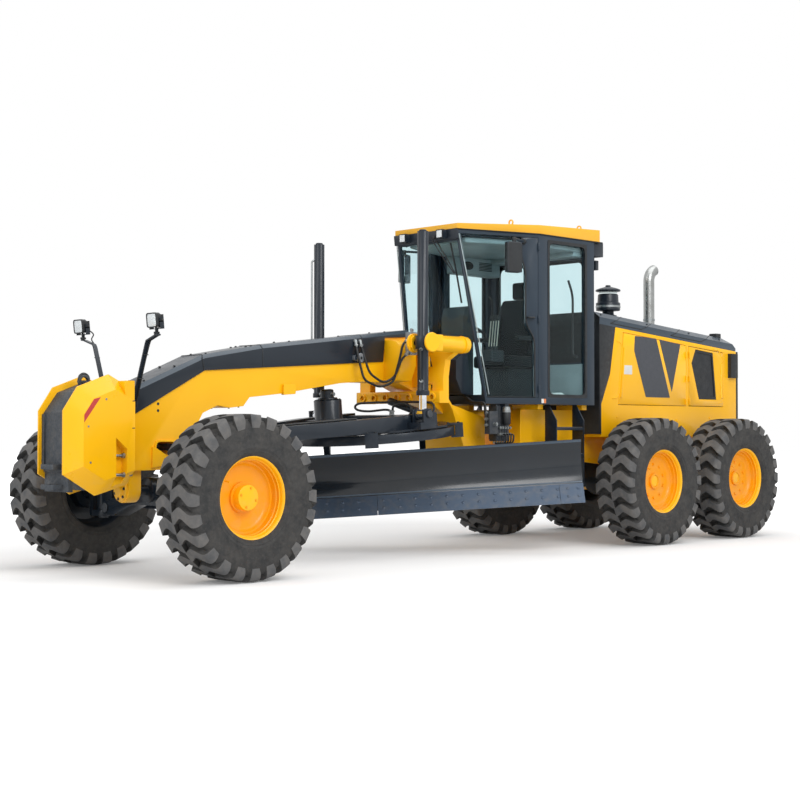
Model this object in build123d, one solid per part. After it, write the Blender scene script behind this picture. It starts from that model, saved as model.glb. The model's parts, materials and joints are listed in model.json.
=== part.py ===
from build123d import *
import math
import os

# Motor grader. Millimetres, +X towards the front wheels, +Y to the operator's left, +Z up.
# The machine is laid out from a point on the ground midway between the two tandem axles.
# The export moves all of it back by ORIGIN_AHEAD, so the origin lies under its middle.
ORIGIN_AHEAD = 2815

# ---- wheels ----
TYRE_R = 660
TYRE_W = 445
RIM_R = 318
WHEEL_Y = 1075
TANDEM_X = 769
FRONT_AXLE_X = 6260
FACETS = 22

# ---- articulation, drawbar, circle and blade ----
HITCH_X = 2350
BALL_X = 5880
BALL_Z = 980
CIRCLE_X = 3750
CIRCLE_Z = 1190
CIRCLE_PITCH = 5
CIRCLE_R = 780
CIRCLE_BORE = 690
BLADE_TURN = 45
BLADE_LENGTH = 3965
BLADE_EDGE_Z = -810
BLADE_TOP_Z = -205
TIP_PIN_X = -210
TIP_PIN_Z = -660
LIFT_X = 3800
LIFT_Y = 717
LIFT_PIVOT_Z = 2000

# ---- front axle ----
LEAN_Y = 640
LEAN_Z = 520
LEAN_TOP = 1050
KINGPIN_Y = 800
TIE_ARM = 225
TIE_Z = 525

# ---- neck, hood and cab ----
NECK_HALF = 160
HOOD_HALF = 680
HOOD_FRONT = 1100
HOOD_REAR = -1500
HOOD_FLOOR = 1150
HOOD_TOP = 2445
HOOD_FALL = 183
COVER = 135
SHOULDER = 820
DOOR_SEAM_Z = 1460
DOOR_POST_X = -505
SKIN = 30
CAB_HALF = 720
CAB_REAR = 1240
CAB_POST_X = 2130
CAB_FRONT = 3010
CAB_FRONT_HALF = 420
CAB_FLOOR = 1450
CAB_TOP = 3160
GLASS = 8

PARTS = {}


def put(name, *solids):
    """Keep the solids of one node, flattened to plain solids."""
    PARTS[name] = [s for shape in solids for s in shape.solids()]


def slab(axis, outline, low, high):
    """Extrude a closed outline along an axis: x takes (y, z), y takes (x, z) and z takes (x, y)."""
    to_3d = {
        "x": lambda a, b: (low, a, b),
        "y": lambda a, b: (a, low, b),
        "z": lambda a, b: (a, b, low),
    }[axis]
    along = {"x": (1, 0, 0), "y": (0, 1, 0), "z": (0, 0, 1)}[axis]
    face = make_face(Polyline(*[to_3d(a, b) for a, b in outline], close=True).edges())
    return extrude(face, amount=high - low, dir=along)


def block(x0, x1, y0, y1, z0, z1):
    """A rectangular block between two corners."""
    return Pos((x0 + x1) / 2, (y0 + y1) / 2, (z0 + z1) / 2) * Box(x1 - x0, y1 - y0, z1 - z0)


def disc(radius, true_round=False):
    """Section of a bar or bore: a circle where something turns on it, and elsewhere flats that follow one."""
    if true_round:
        return Circle(radius)
    return RegularPolygon(radius, 6 if radius < 16 else 12 if radius < 75 else 16)


def rod(start, end, radius, true_round=False):
    """A bar from one point to another."""
    start, end = Vector(*start), Vector(*end)
    plane = Plane(origin=start, z_dir=end - start)
    return extrude(plane * disc(radius, true_round), amount=(end - start).length)


def tube(start, end, radius, bore):
    """A tube from one point to another."""
    start, end = Vector(*start), Vector(*end)
    plane = Plane(origin=start, z_dir=end - start)
    return extrude(plane * (disc(radius) - disc(bore)), amount=(end - start).length)


def ball(centre, radius, sides=12):
    """A ball with flat facets, round a vertical axis."""
    half = [(-1.0, 0.15), (-0.87, 0.5), (-0.5, 0.87), (0.0, 1.0), (0.5, 0.87), (0.87, 0.5), (1.0, 0.15)]
    profile = [(station * radius, flat * radius) for station, flat in half]
    return Pos(*centre) * Rot(90, 0, 0) * faceted_body(profile, sides)


def mirrored(shape):
    """The same shape on the machine's other side."""
    return mirror(shape, about=Plane.XZ)


def both(shape):
    """A shape and its mirror image, as one."""
    return shape + mirrored(shape)


def round_plate(axis, centre, radius, low, high, true_round=False):
    """A disc whose axis is x, y or z, between two stations on that axis."""
    a, b = centre
    ends = {
        "x": ((low, a, b), (high, a, b)),
        "y": ((a, low, b), (a, high, b)),
        "z": ((a, b, low), (a, b, high)),
    }[axis]
    return rod(*ends, radius, true_round)


def facet_point(station, radius, index, facets):
    """A corner of a faceted body about Y, whose flats stand at radius."""
    turn = 2 * math.pi / facets
    angle, reach = turn * (index + 0.5) - math.pi / 2, radius / math.cos(turn / 2)
    return (reach * math.cos(angle), station, reach * math.sin(angle))


def facet_bands(pairs, facets):
    """Flat faces between the stations of each pair, all the way round."""
    faces = []
    for (s0, r0), (s1, r1) in pairs:
        for i in range(facets):
            corners = [facet_point(s0, r0, i, facets), facet_point(s1, r1, i, facets),
                       facet_point(s1, r1, i + 1, facets), facet_point(s0, r0, i + 1, facets)]
            faces.append(Face(Wire.make_polygon(corners)))
    return faces


def faceted_ring(profile, facets=FACETS):
    """A ring about Y with flat facets. The profile's columns are station along Y and flat's distance."""
    return Solid(Shell(facet_bands(list(zip(profile, profile[1:] + profile[:1])), facets)))


def faceted_body(profile, facets):
    """A body about Y with flat facets and flat ends, from the same two columns."""
    faces = facet_bands(list(zip(profile, profile[1:])), facets)
    for station, radius in (profile[0], profile[-1]):
        faces.append(Face(Wire.make_polygon([facet_point(station, radius, i, facets) for i in range(facets)])))
    return Solid(Shell(faces))


# ---------------------------------------------------------------- wheels

def tyre():
    """Tyre 17.5-25 out to the lugs' tips, about the wheel's centre."""
    half = TYRE_W / 2
    section = [
        (-half + 55, RIM_R + 2), (-half + 40, RIM_R + 45), (-half, TYRE_R - 220), (-half + 6, TYRE_R - 60),
        (-half + 30, TYRE_R), (half - 30, TYRE_R), (half - 6, TYRE_R - 60), (half, TYRE_R - 220),
        (half - 40, RIM_R + 45), (half - 55, RIM_R + 2),
    ]
    return faceted_ring(section)


def rim(dish):
    """Welded rim; the disc stands at station dish from the wheel's middle."""
    half = TYRE_W / 2
    section = [
        (-half + 40, RIM_R + 34), (-half + 55, RIM_R), (half - 55, RIM_R), (half - 40, RIM_R + 34),
        (half - 26, RIM_R + 34), (half - 44, RIM_R - 20), (dish + 20, RIM_R - 40), (dish + 20, 110),
        (dish, 110), (dish, RIM_R - 40), (-half + 26, RIM_R - 20), (-half + 26, RIM_R + 34),
    ]
    return faceted_ring(section)


def hub(dish, cap):
    """Hub behind the rim's disc, bored for its spindle, with a cap that stands out in front."""
    body = rod((0, -60, 0), (0, dish + 5, 0), 150) + rod((0, dish, 0), (0, cap, 0), 102)
    return body - rod((0, -61, 0), (0, -20, 0), 60, True)


def wheel(name, x, side, dish, cap):
    """Tyre, rim and hub of one wheel; side is 1 on the left and -1 on the right."""
    place = Pos(x, side * WHEEL_Y, TYRE_R)
    turn = Rot(0, 0, 0 if side > 0 else 180)
    put("tyre_" + name, place * turn * tyre())
    put("rim_" + name, place * turn * (rim(dish) + hub(dish, cap)))


def wheels():
    """Two front and four tandem wheels."""
    for side, word in ((1, "left"), (-1, "right")):
        wheel("front_" + word, FRONT_AXLE_X, side, 15, 130)
        wheel("middle_" + word, TANDEM_X, side, 30, 65)
        wheel("rear_" + word, -TANDEM_X, side, 30, 65)


# ---------------------------------------------------------------- rear frame

def rear_frame():
    """Two side plates, cross members, the hitch's fork and the rear tow plate."""
    side = slab("y", [
        (-1420, 1120), (-1420, 820), (-700, 800), (-330, 900), (330, 900), (700, 820), (1100, 860),
        (2080, 860), (2080, 1400), (1165, 1400), (1140, 1120),
    ], 390, 420)
    frame = both(side)
    for x in (-1250, -820, -280, 760, 1160, 1600):
        frame += block(x, x + 80, -392, 392, 900, 1000)
    frame += block(2050, 2080, -422, 422, 860, 1400)
    for low in (860, 1330):
        arm = slab("z", [(2060, -300), (2060, 300), (HITCH_X, 130), (HITCH_X, -130)], low, low + 50)
        frame += arm + round_plate("z", (HITCH_X, 0), 130, low, low + 50)
    frame -= round_plate("z", (HITCH_X, 0), 45, 800, 1450, True)
    frame += block(-1450, -1410, -422, 422, 800, 1120)
    for low in (890, 990):
        frame += slab("z", [(-1440, -150), (-1440, 150), (-1700, 75), (-1700, -75)], low, low + 40)
    frame -= round_plate("z", (-1640, 0), 20, 850, 1100, True)
    for x in (1270, 1980):
        frame += both(block(x, x + 80, 300, 640, 1400, CAB_FLOOR))
    put("rear_frame", frame + hitch_pin())


def tandem():
    """Tandem case each side, and the axle housing that carries them."""
    case = slab("y", [
        (-930, 560), (-930, 760), (-820, 850), (-250, 880), (250, 880), (820, 850), (930, 760), (930, 560),
        (820, 490), (-820, 490),
    ], 660, 830)
    for x in (-TANDEM_X, TANDEM_X):
        case += round_plate("y", (x, TYRE_R), 105, 828, 1010) + round_plate("y", (x, TYRE_R), 55, 1010, 1050)
    put("tandem_cases", case, mirrored(case))
    housing = rod((0, -660, 690), (0, 660, 690), 150)
    housing += rod((0, -230, 690), (0, 230, 690), 235) + both(block(-160, 160, 390, 480, 690, 900))
    put("rear_axle", housing)


def engine():
    """Closed engine and transmission as one plain mass."""
    put("engine", block(-500, 950, -340, 340, HOOD_FLOOR, 1950) + block(-300, 900, -260, 260, 1000, HOOD_FLOOR))


def hood_top(x):
    """Height of the sloping hood's top edge at a station along X."""
    return HOOD_TOP + (x - HOOD_FRONT) * HOOD_FALL / (HOOD_FRONT + 1330)


def hood():
    """Fixed hood: seamed sides round the doors, front panel and dark top cover."""
    low_z, seam = HOOD_FLOOR, DOOR_SEAM_Z
    top0, top1 = hood_top(HOOD_FRONT) - COVER, hood_top(HOOD_REAR) - COVER
    peak = hood_top(SHOULDER) - COVER
    side = slab("y", [
        (HOOD_REAR, low_z), (HOOD_FRONT - 30, low_z), (HOOD_FRONT - 30, seam), (915, 1790), (SHOULDER, peak - 2),
        (HOOD_REAR, top1 - 2),
    ], HOOD_HALF - SKIN, HOOD_HALF)
    for x0, x1, lean in ((DOOR_POST_X + 25, 775, 90), (-1230, DOOR_POST_X - 25, 0)):
        front, rear = hood_top(x1) - COVER - 45, hood_top(x0) - COVER - 45
        hole = [(x0, seam), (x1, seam), (x1 - lean, front), (x0, rear)]
        side -= slab("y", hole, HOOD_HALF - 200, HOOD_HALF + 10)
    side += block(HOOD_REAR, HOOD_FRONT - 30, 390, HOOD_HALF, low_z - 30, low_z)
    side += block(-1475, -1330, HOOD_HALF - 5, HOOD_HALF + 45, 1800, 2080)
    put("hood_sides", side, mirrored(side))
    half = HOOD_HALF
    cover = slab("x", [(-half, 0), (-half, 75), (90 - half, 137), (half - 90, 137), (half, 75), (half, 0)],
                 HOOD_REAR, HOOD_FRONT)
    inner = slab("x", [
        (30 - half, -5), (30 - half, 60), (100 - half, 108), (half - 100, 108), (half - 30, 60), (half - 30, -5),
    ], HOOD_REAR - 5, HOOD_FRONT - 30)
    slope = math.degrees(math.atan(HOOD_FALL / (HOOD_FRONT + 1330)))
    cover = (cover - hood_tail(0)) - (inner - hood_tail(30))
    cover = Pos(0, 0, top0) * Pos(HOOD_FRONT, 0, 0) * Rot(0, -slope, 0) * Pos(-HOOD_FRONT, 0, 0) * cover
    cover += block(HOOD_FRONT - 30, HOOD_FRONT, -half, half, low_z, top0 + 20)
    cheek = slab("y", [
        (HOOD_FRONT - 29, seam + 5), (HOOD_FRONT - 29, top0 + 10), (SHOULDER, peak + 8), (SHOULDER + 3, peak - 2),
        (918, 1790),
    ], half - SKIN, half)
    put("hood_cover", cover + both(cheek))


def hood_tail(drop):
    """What the cover's rear bevel takes off, in the cover's own frame."""
    return slab("y", [(HOOD_REAR - 10, 26 - drop), (HOOD_REAR + 170, 138 - drop), (HOOD_REAR + 170, 400),
                      (HOOD_REAR - 10, 400)], -900, 900)


def hood_doors():
    """Two doors each side, hinged on the post between them; the rear one has a screened window."""
    for side, word in ((1, "left"), (-1, "right")):
        for end, x0, x1, lean in (("front", DOOR_POST_X + 30, 770, 90), ("rear", -1225, DOOR_POST_X - 30, 0)):
            z0, gap = DOOR_SEAM_Z + 5, COVER + 51
            outline = [(x0, z0), (x1, z0), (x1 - lean, hood_top(x1) - gap), (x0, hood_top(x0) - gap)]
            door = slab("y", outline, HOOD_HALF - 24, HOOD_HALF + 4)
            if end == "rear":
                door -= slab("y", [(-590, 1949), (-735, 1542), (-1080, 1542), (-1012, 2075), (-668, 2105)],
                             HOOD_HALF - 8, HOOD_HALF + 5)
                door += block(x0 + 15, x0 + 45, HOOD_HALF + 2, HOOD_HALF + 16, 1560, 1960)
            else:
                door += slab("y", [(x1 - 50, 1540), (x1 - 20, 1540), (x1 - 80, 2080), (x1 - 110, 2080)],
                             HOOD_HALF + 2, HOOD_HALF + 16)
            put("hood_door_{}_{}".format(end, word), door if side > 0 else mirrored(door))


def rear_grille():
    """Radiator grille that closes the hood's rear: a frame with bars."""
    top = hood_top(HOOD_REAR) - COVER - 5
    frame = block(HOOD_REAR - 40, HOOD_REAR, -HOOD_HALF, HOOD_HALF, HOOD_FLOOR, top)
    frame -= block(HOOD_REAR - 50, HOOD_REAR + 10, -HOOD_HALF + 60, HOOD_HALF - 60, HOOD_FLOOR + 60, top - 60)
    for z in range(HOOD_FLOOR + 120, int(top) - 80, 90):
        frame += block(HOOD_REAR - 30, HOOD_REAR - 12, -HOOD_HALF + 55, HOOD_HALF - 55, z, z + 30)
    put("rear_grille", frame)


def under_hood(x, y):
    """The space below the hood's sloping top round a stack, which its flange is cut to."""
    ends = [(x + dx, hood_top(x + dx) + 3) for dx in (-200, 200)]
    return slab("y", ends + [(x + 200, 2000), (x - 200, 2000)], y - 200, y + 200)


def stacks():
    """Air precleaner and exhaust on the hood."""
    x, y = 450, 300
    base = hood_top(x) - 10
    levels = [(0, 105), (75, 105), (80, 62), (115, 62), (120, 132), (205, 132), (210, 112), (300, 112), (302, 100),
              (330, 100), (332, 136), (350, 136), (385, 40)]
    bowl = Pos(x, y, base) * Rot(90, 0, 0) * faceted_body(levels, 16)
    put("precleaner", bowl - under_hood(x, y))
    x, y, r = -310, 300, 62
    base, bend, knee = hood_top(x) - 10, 140, 2880
    route = [(x, y, base)]
    for step in range(5):
        angle = math.radians(17.5 * step)
        route.append((x - bend + bend * math.cos(angle), y, knee + bend * math.sin(angle)))
    pipe = sweep(Plane(origin=route[0], z_dir=(0, 0, 1)) * (disc(r) - disc(r - 6)), path=Polyline(*route),
                 transition=Transition.RIGHT)
    put("exhaust", pipe + round_plate("z", (x, y), 85, base, base + 45) - under_hood(x, y))


# ---------------------------------------------------------------- cab

def cab_plan(inset=0):
    """Plan of the cab: square at the rear and narrowed to its windscreen."""
    return [
        (CAB_REAR + inset, -CAB_HALF + inset), (CAB_POST_X, -CAB_HALF + inset),
        (CAB_FRONT - inset, -CAB_FRONT_HALF + inset), (CAB_FRONT - inset, CAB_FRONT_HALF - inset),
        (CAB_POST_X, CAB_HALF - inset), (CAB_REAR + inset, CAB_HALF - inset),
    ]


def nose_x(z):
    """X of the leaning windscreen at a height."""
    return CAB_FRONT - (CAB_TOP - z) * (CAB_FRONT - 2710) / (CAB_TOP - CAB_FLOOR)


def lean_cut(gap):
    """What lies in front of the leaning windscreen plane, moved back by a gap."""
    low, high = CAB_FLOOR - 50, CAB_TOP + 50
    return slab("y", [
        (nose_x(low) - gap, low), (nose_x(high) - gap, high), (CAB_FRONT + 400, high), (CAB_FRONT + 400, low),
    ], -900, 900)


def door_panel(start, end_gap, low, high, inner, outer):
    """A panel in the slanted plane of the left door, from the hinge side to the windscreen's edge.

    start and end_gap are measured along the door, inner and outer across it."""
    run, fall = CAB_FRONT - CAB_POST_X, CAB_HALF - CAB_FRONT_HALF
    turn = math.degrees(math.atan2(-fall, run))
    scale = math.hypot(run, fall) / run
    outline = [
        (start, low), ((nose_x(low) - CAB_POST_X) * scale - end_gap, low),
        ((nose_x(high) - CAB_POST_X) * scale - end_gap, high), (start, high),
    ]
    return Pos(CAB_POST_X, CAB_HALF, 0) * Rot(0, 0, turn) * slab("y", outline, inner, outer)


def windscreen_panel(side_gap, low, high, back, front):
    """A panel in the leaning plane of the windscreen, between two depths in front of the plane."""
    half = CAB_FRONT_HALF - side_gap
    wide = half + (CAB_FRONT - 2710) * (CAB_HALF - CAB_FRONT_HALF) / (CAB_FRONT - CAB_POST_X)
    share = (CAB_TOP - low) / (CAB_TOP - CAB_FLOOR)
    low_half = half + (wide - half) * share
    outline = [(-low_half, low), (low_half, low), (half, high), (-half, high)]
    panel = slab("x", outline, 2500, CAB_FRONT + 60)
    ahead = slab("y", [
        (nose_x(low) + back, low), (nose_x(high) + back, high), (nose_x(high) + front, high),
        (nose_x(low) + front, low),
    ], -900, 900)
    return panel & ahead


def cab():
    """Hollow cab frame with its windows and door openings cut, floor, roof and glass."""
    outer = slab("z", cab_plan(), CAB_FLOOR, CAB_TOP) - lean_cut(0)
    inner = slab("z", cab_plan(60), CAB_FLOOR + 50, CAB_TOP - 60) - lean_cut(60)
    shell = outer - inner
    side_window = (CAB_REAR + 125, 1995, CAB_FLOOR + 75, CAB_TOP - 50)
    rear_window = (-CAB_HALF + 120, CAB_HALF - 120, 1900, CAB_TOP - 180)
    x0, x1, z0, z1 = side_window
    shell -= block(x0, x1, -800, 800, z0, z1)
    y0, y1, low, high = rear_window
    shell -= block(CAB_REAR - 10, CAB_REAR + 70, y0, y1, low, high)
    shell -= windscreen_panel(24, CAB_FLOOR + 90, CAB_TOP - 110, -90, 30)
    shell -= both(door_panel(12, 24, CAB_FLOOR + 62, CAB_TOP - 42, -75, 20))
    put("cab_frame", shell)
    pane = block(x0, x1, CAB_HALF - 30, CAB_HALF - 30 + GLASS, z0, z1)
    rear = block(CAB_REAR + 20, CAB_REAR + 20 + GLASS, y0, y1, low, high)
    screen = windscreen_panel(24, CAB_FLOOR + 90, CAB_TOP - 110, -30, -30 + GLASS)
    put("cab_glass", pane, mirrored(pane), rear, screen)
    doors()
    roof()
    cab_fittings()


def on_door(shape):
    """Place a shape drawn along X in the slanted plane of the left door."""
    turn = math.degrees(math.atan2(CAB_FRONT_HALF - CAB_HALF, CAB_FRONT - CAB_POST_X))
    return Pos(CAB_POST_X, CAB_HALF, 0) * Rot(0, 0, turn) * shape


def doors():
    """Frameless glass doors on a stile that widens upwards, with their handles and mirrors."""
    low, high = CAB_FLOOR + 66, CAB_TOP - 46
    stile = on_door(slab("y", [
        (17, low), (55, low), (55, 2105), (160, 2255), (160, 2790), (205, 2900), (205, high), (17, high),
    ], -42, 2))
    pane = door_panel(17, 29, low, high, -24, -24 + GLASS) - stile
    frame = stile + on_door(block(70, 150, 0, 30, 2300, 2325) + block(380, 410, 170, 190, 2980, 3080))
    frame += on_door(rod((180, 0, 3070), (390, 180, 3070), 14) + block(320, 480, 145, 205, 2740, 3035))
    for name, make in (("left", lambda s: s), ("right", mirrored)):
        put("cab_door_" + name, make(frame))
        put("cab_door_glass_" + name, make(pane))


def roof():
    """Roof cap that rises to the rear, overhanging there, and its lifting eyes."""
    plan = [
        (1066, 60 - CAB_HALF), (1156, -CAB_HALF - 12), (CAB_POST_X, -CAB_HALF - 12), (3022, -CAB_FRONT_HALF - 12),
        (3022, CAB_FRONT_HALF + 12), (CAB_POST_X, CAB_HALF + 12), (1156, CAB_HALF + 12), (1066, CAB_HALF - 60),
    ]
    cap = slab("z", plan, CAB_TOP + 2, 3400)
    cap -= slab("y", [(3030, 3213), (1050, 3290), (1050, 3450), (3030, 3450)], -900, 900)
    dome = Pos(1330, 300, 3270) * Rot(90, 0, 0) * faceted_body([(0, 75), (30, 70), (45, 45)], 12)
    cap += dome
    for x, z in ((1286, 3308), (2376, 3265)):
        cap += both(tube((x - 6, 560, z), (x + 6, 560, z), 32, 18))
    put("cab_roof", cap)


def cab_fittings():
    """Visor with lamps, nose box, seat, console, mirrors, ladders and the valve block below the floor."""
    visor = windscreen_panel(-10, CAB_TOP - 100, CAB_TOP - 2, 4, 34)
    for y in (-256, 256):
        visor += block(CAB_FRONT + 10, CAB_FRONT + 85, y - 44, y + 44, CAB_TOP - 88, CAB_TOP - 2)
    nose = slab("y", [(2735, 1530), (2900, 1550), (2985, 1700), (2985, 1880), (2830, 1990), (2800, 1800)], -375, 375)
    seat = block(1560, 2050, -250, 250, 1840, 1960) + block(1500, 1610, -240, 240, 1950, 2560)
    put("seat", seat + block(1510, 1590, -130, 130, 2560, 2760))
    base = block(1600, 2000, -200, 200, CAB_FLOOR + 50, 1840)
    column = slab("y", [(2380, CAB_FLOOR + 50), (2560, CAB_FLOOR + 50), (2440, 2195), (2380, 2165)], -60, 60)
    wheel_plane = Plane(origin=(2400, 0, 2175), z_dir=(-0.5, 0, 1))
    grip = extrude(wheel_plane * (Circle(190) - Circle(165)), amount=25)
    spokes = extrude(wheel_plane * Rectangle(350, 30), amount=20) + extrude(wheel_plane * Circle(50), amount=25)
    levers = Part() + [rod((2330, y, 2000), (2300, y, 2330), 7) for y in (-300, -260, -220, 220, 260, 300)]
    pods = both(block(2300, 2400, 190, 330, 1900, 2010)) + block(2385, 2440, -330, 330, 1900, 2000)
    put("cab_interior", column + grip + spokes + pods + levers, base)
    rear_box = block(1045, CAB_REAR, -690, 690, CAB_TOP - 145, CAB_TOP) + block(1060, 1110, 560, 640, 2880, 2980)
    rear_box += rod((1090, 600, 2970), (1090, 600, 3030), 8)
    put("cab_trim", visor, nose & lean_cut(0), rear_box)
    plate = [(630, CAB_FLOOR), (680, CAB_FLOOR), (780, 1290), (780, 640), (630, 640)]
    ladder = slab("x", plate, 1485, 1497) + slab("x", plate, 1925, 1937)
    for z in (650, 920, 1190):
        ladder += block(1496, 1926, 640, 775, z, z + 30)
    put("ladders", ladder, mirrored(ladder))
    valves = block(2400, 2590, 440, 560, 1080, 1449) + block(2590, 2720, 505, 580, 1150, 1380)
    valves += round_plate("z", (2500, 605), 42, 1240, 1430) + block(2470, 2530, 550, 600, 1380, 1449)
    bundle = []
    for step in (0, 1, 2):
        x, y = 2800 - 22 * step, 345 - 34 * step
        bundle.append(hose([(x, y, 1520), (x - 16, y + 62, 1470), (2752, 542 - 2 * step, 1464),
                            (2740, 546 - 2 * step, 1400 - 20 * step), (2722, 545, 1360 - 60 * step)], 18))
    put("valve_block", valves, *bundle)


# ---------------------------------------------------------------- front frame

def front_frame():
    """Gooseneck box with its rear leg, articulation tongue, axle lugs and nose plate."""
    beam = slab("y", [
        (6660, 860), (6660, 1480), (5905, 1800), (5265, 1905), (3640, 2100), (3230, 2090), (3130, 2000),
        (3110, 1560), (2900, 1440), (2900, 1330), (3180, 1500), (3560, 1645), (4030, 1646), (4326, 1625),
        (5010, 1519), (5400, 1479), (5469, 1400), (5620, 1384), (5750, 1404),
        (5910, 1337), (6000, 1190), (6150, 1040), (6220, 860),
    ], -NECK_HALF, NECK_HALF)
    beam -= slab("y", [(6190, 980), (6400, 980), (6400, 1100), (6190, 1100)], -200, 200)
    leg = slab("y", [(3060, 1560), (2960, 1440), (2480, 1318), (2480, 915), (2740, 915), (2960, 1400), (3120, 1600)],
               -300, 300)
    frame = beam + leg
    for low in (915, 1265):
        tongue = slab("z", [(2500, -290), (2500, 290), (HITCH_X, 120), (HITCH_X, -120)], low, low + 50)
        frame += tongue + round_plate("z", (HITCH_X, 0), 120, low, low + 50)
    frame -= round_plate("z", (HITCH_X, 0), 45, 900, 1400)
    frame += block(2480, 2520, -300, 300, 915, 1315)
    for x0, x1 in ((5990, 6080), (6500, 6620)):
        frame += slab("x", [(-100, 690), (100, 690), (100, 1100), (-100, 1100)], x0, x1)
        frame += round_plate("x", (0, 690), 100, x0, x1)
    frame += slab("y", [(5990, 1060), (6240, 860), (6240, 1200), (5990, 1300)], -NECK_HALF, NECK_HALF)
    frame -= slab("y", [(6190, 980), (6400, 980), (6400, 1100), (6190, 1100)], -200, 200)
    frame += block(BALL_X - 20, 5995, -95, 95, BALL_Z - 95, BALL_Z + 95)
    frame -= ball((BALL_X, 0, BALL_Z), 76)
    frame -= round_plate("x", (0, 690), 46, 5980, 6630)
    put("front_frame", frame)


def hitch_pin():
    """Pin of the articulation, headed on the upper fork plate."""
    return rod((HITCH_X, 0, 850), (HITCH_X, 0, 1395), 43, True) + rod((HITCH_X, 0, 1380), (HITCH_X, 0, 1396), 70)


def neck_cover():
    """Bevelled cover over the neck's top."""
    outline = [
        (6655, 1300), (6655, 1525), (5910, 1834), (5270, 1943), (3430, 2160), (3405, 2090), (3760, 2070),
        (3780, 1840), (5900, 1700),
    ]
    hat = slab("y", outline, -175, 175)
    tops = [e for e in hat.edges() if abs(abs(e.center().Y) - 175) < 1 and e.center().Z > 1640
            and e.length > 500 and e.center().Z > 1700 + (6000 - e.center().X) * 0.14]
    hat = chamfer(tops, 32)
    hollow = slab("y", [
        (6670, 1200), (6670, 1482), (5905, 1802), (5265, 1907), (3640, 2102), (3390, 2097), (3390, 1700), (5900, 1200),
    ], -161, 161)
    put("neck_cover", (hat - hollow) + block(4060, 4185, 174, 214, 1842, 1888))


def saddle():
    """Lift arms each side with their boss tubes and forks, and the perforated link bar below."""
    web = slab("x", [
        (NECK_HALF, 2070), (600, 2080), (760, 2000), (700, 1915), (600, 1860), (575, 1700), (575, 1450),
        (430, 1450), (430, 1640), (NECK_HALF, 1600),
    ], 3300, 3375)
    web -= slab("x", [(240, 1780), (430, 1800), (400, 1900), (240, 1900)], 3290, 3380)
    gusset = slab("z", [(3140, NECK_HALF), (3140, 300), (3300, 500), (3640, 300), (3640, NECK_HALF)], 1985, 2040)
    boss = round_plate("x", (700, 2000), 78, 3200, 3660)
    fork = Part()
    for y in (LIFT_Y - 105, LIFT_Y + 85):
        cheek = slab("y", [(3640, 1925), (3820, 1925), (3860, 1960), (3860, 2040), (3820, 2075), (3640, 2075)],
                     y, y + 20)
        fork += cheek - round_plate("y", (LIFT_X, LIFT_PIVOT_Z), 31, y - 5, y + 25)
    fork += block(3640, 3670, LIFT_Y - 105, LIFT_Y + 105, 1925, 2075)
    box = slab("x", [(NECK_HALF, 1645), (330, 1660), (392, 1800), (392, 1930), (375, 1985), (330, 2025),
                     (270, 2042), (NECK_HALF, 2045)], 3560, 3760)
    manifold = block(3610, 3700, 390, 470, 1900, 2115)
    arm = web + gusset + boss + fork + box 
    bar = block(3375, 3425, -575, 575, 1450, 1565)
    for y in range(-480, 481, 160):
        bar -= round_plate("x", (y, 1507), 24, 3370, 3430)
    put("saddle", both(arm) + bar + manifold)


def lift_cylinders():
    """Barrels with trunnions, which swing in the saddle's forks, and their rods."""
    barrel = tube((LIFT_X, LIFT_Y, 1540), (LIFT_X, LIFT_Y, 3000), 53, 36)
    barrel += rod((LIFT_X, LIFT_Y, 2990), (LIFT_X, LIFT_Y, 3030), 53)
    barrel += tube((LIFT_X, LIFT_Y, 1940), (LIFT_X, LIFT_Y, 2060), 72, 36)
    barrel += rod((LIFT_X, LIFT_Y - 108, 2000), (LIFT_X, LIFT_Y - 60, 2000), 29)
    barrel += rod((LIFT_X, LIFT_Y + 60, 2000), (LIFT_X, LIFT_Y + 108, 2000), 29)
    barrel += tube((LIFT_X, LIFT_Y, 1520), (LIFT_X, LIFT_Y, 1560), 58, 36)
    put("lift_barrels", barrel, mirrored(barrel))
    shaft = rod((LIFT_X, LIFT_Y, 1330), (LIFT_X, LIFT_Y, 2900), 34)
    shaft += round_plate("y", (LIFT_X, 1340), 52, LIFT_Y - 40, LIFT_Y + 40)
    put("lift_rods", shaft, mirrored(shaft))


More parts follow.
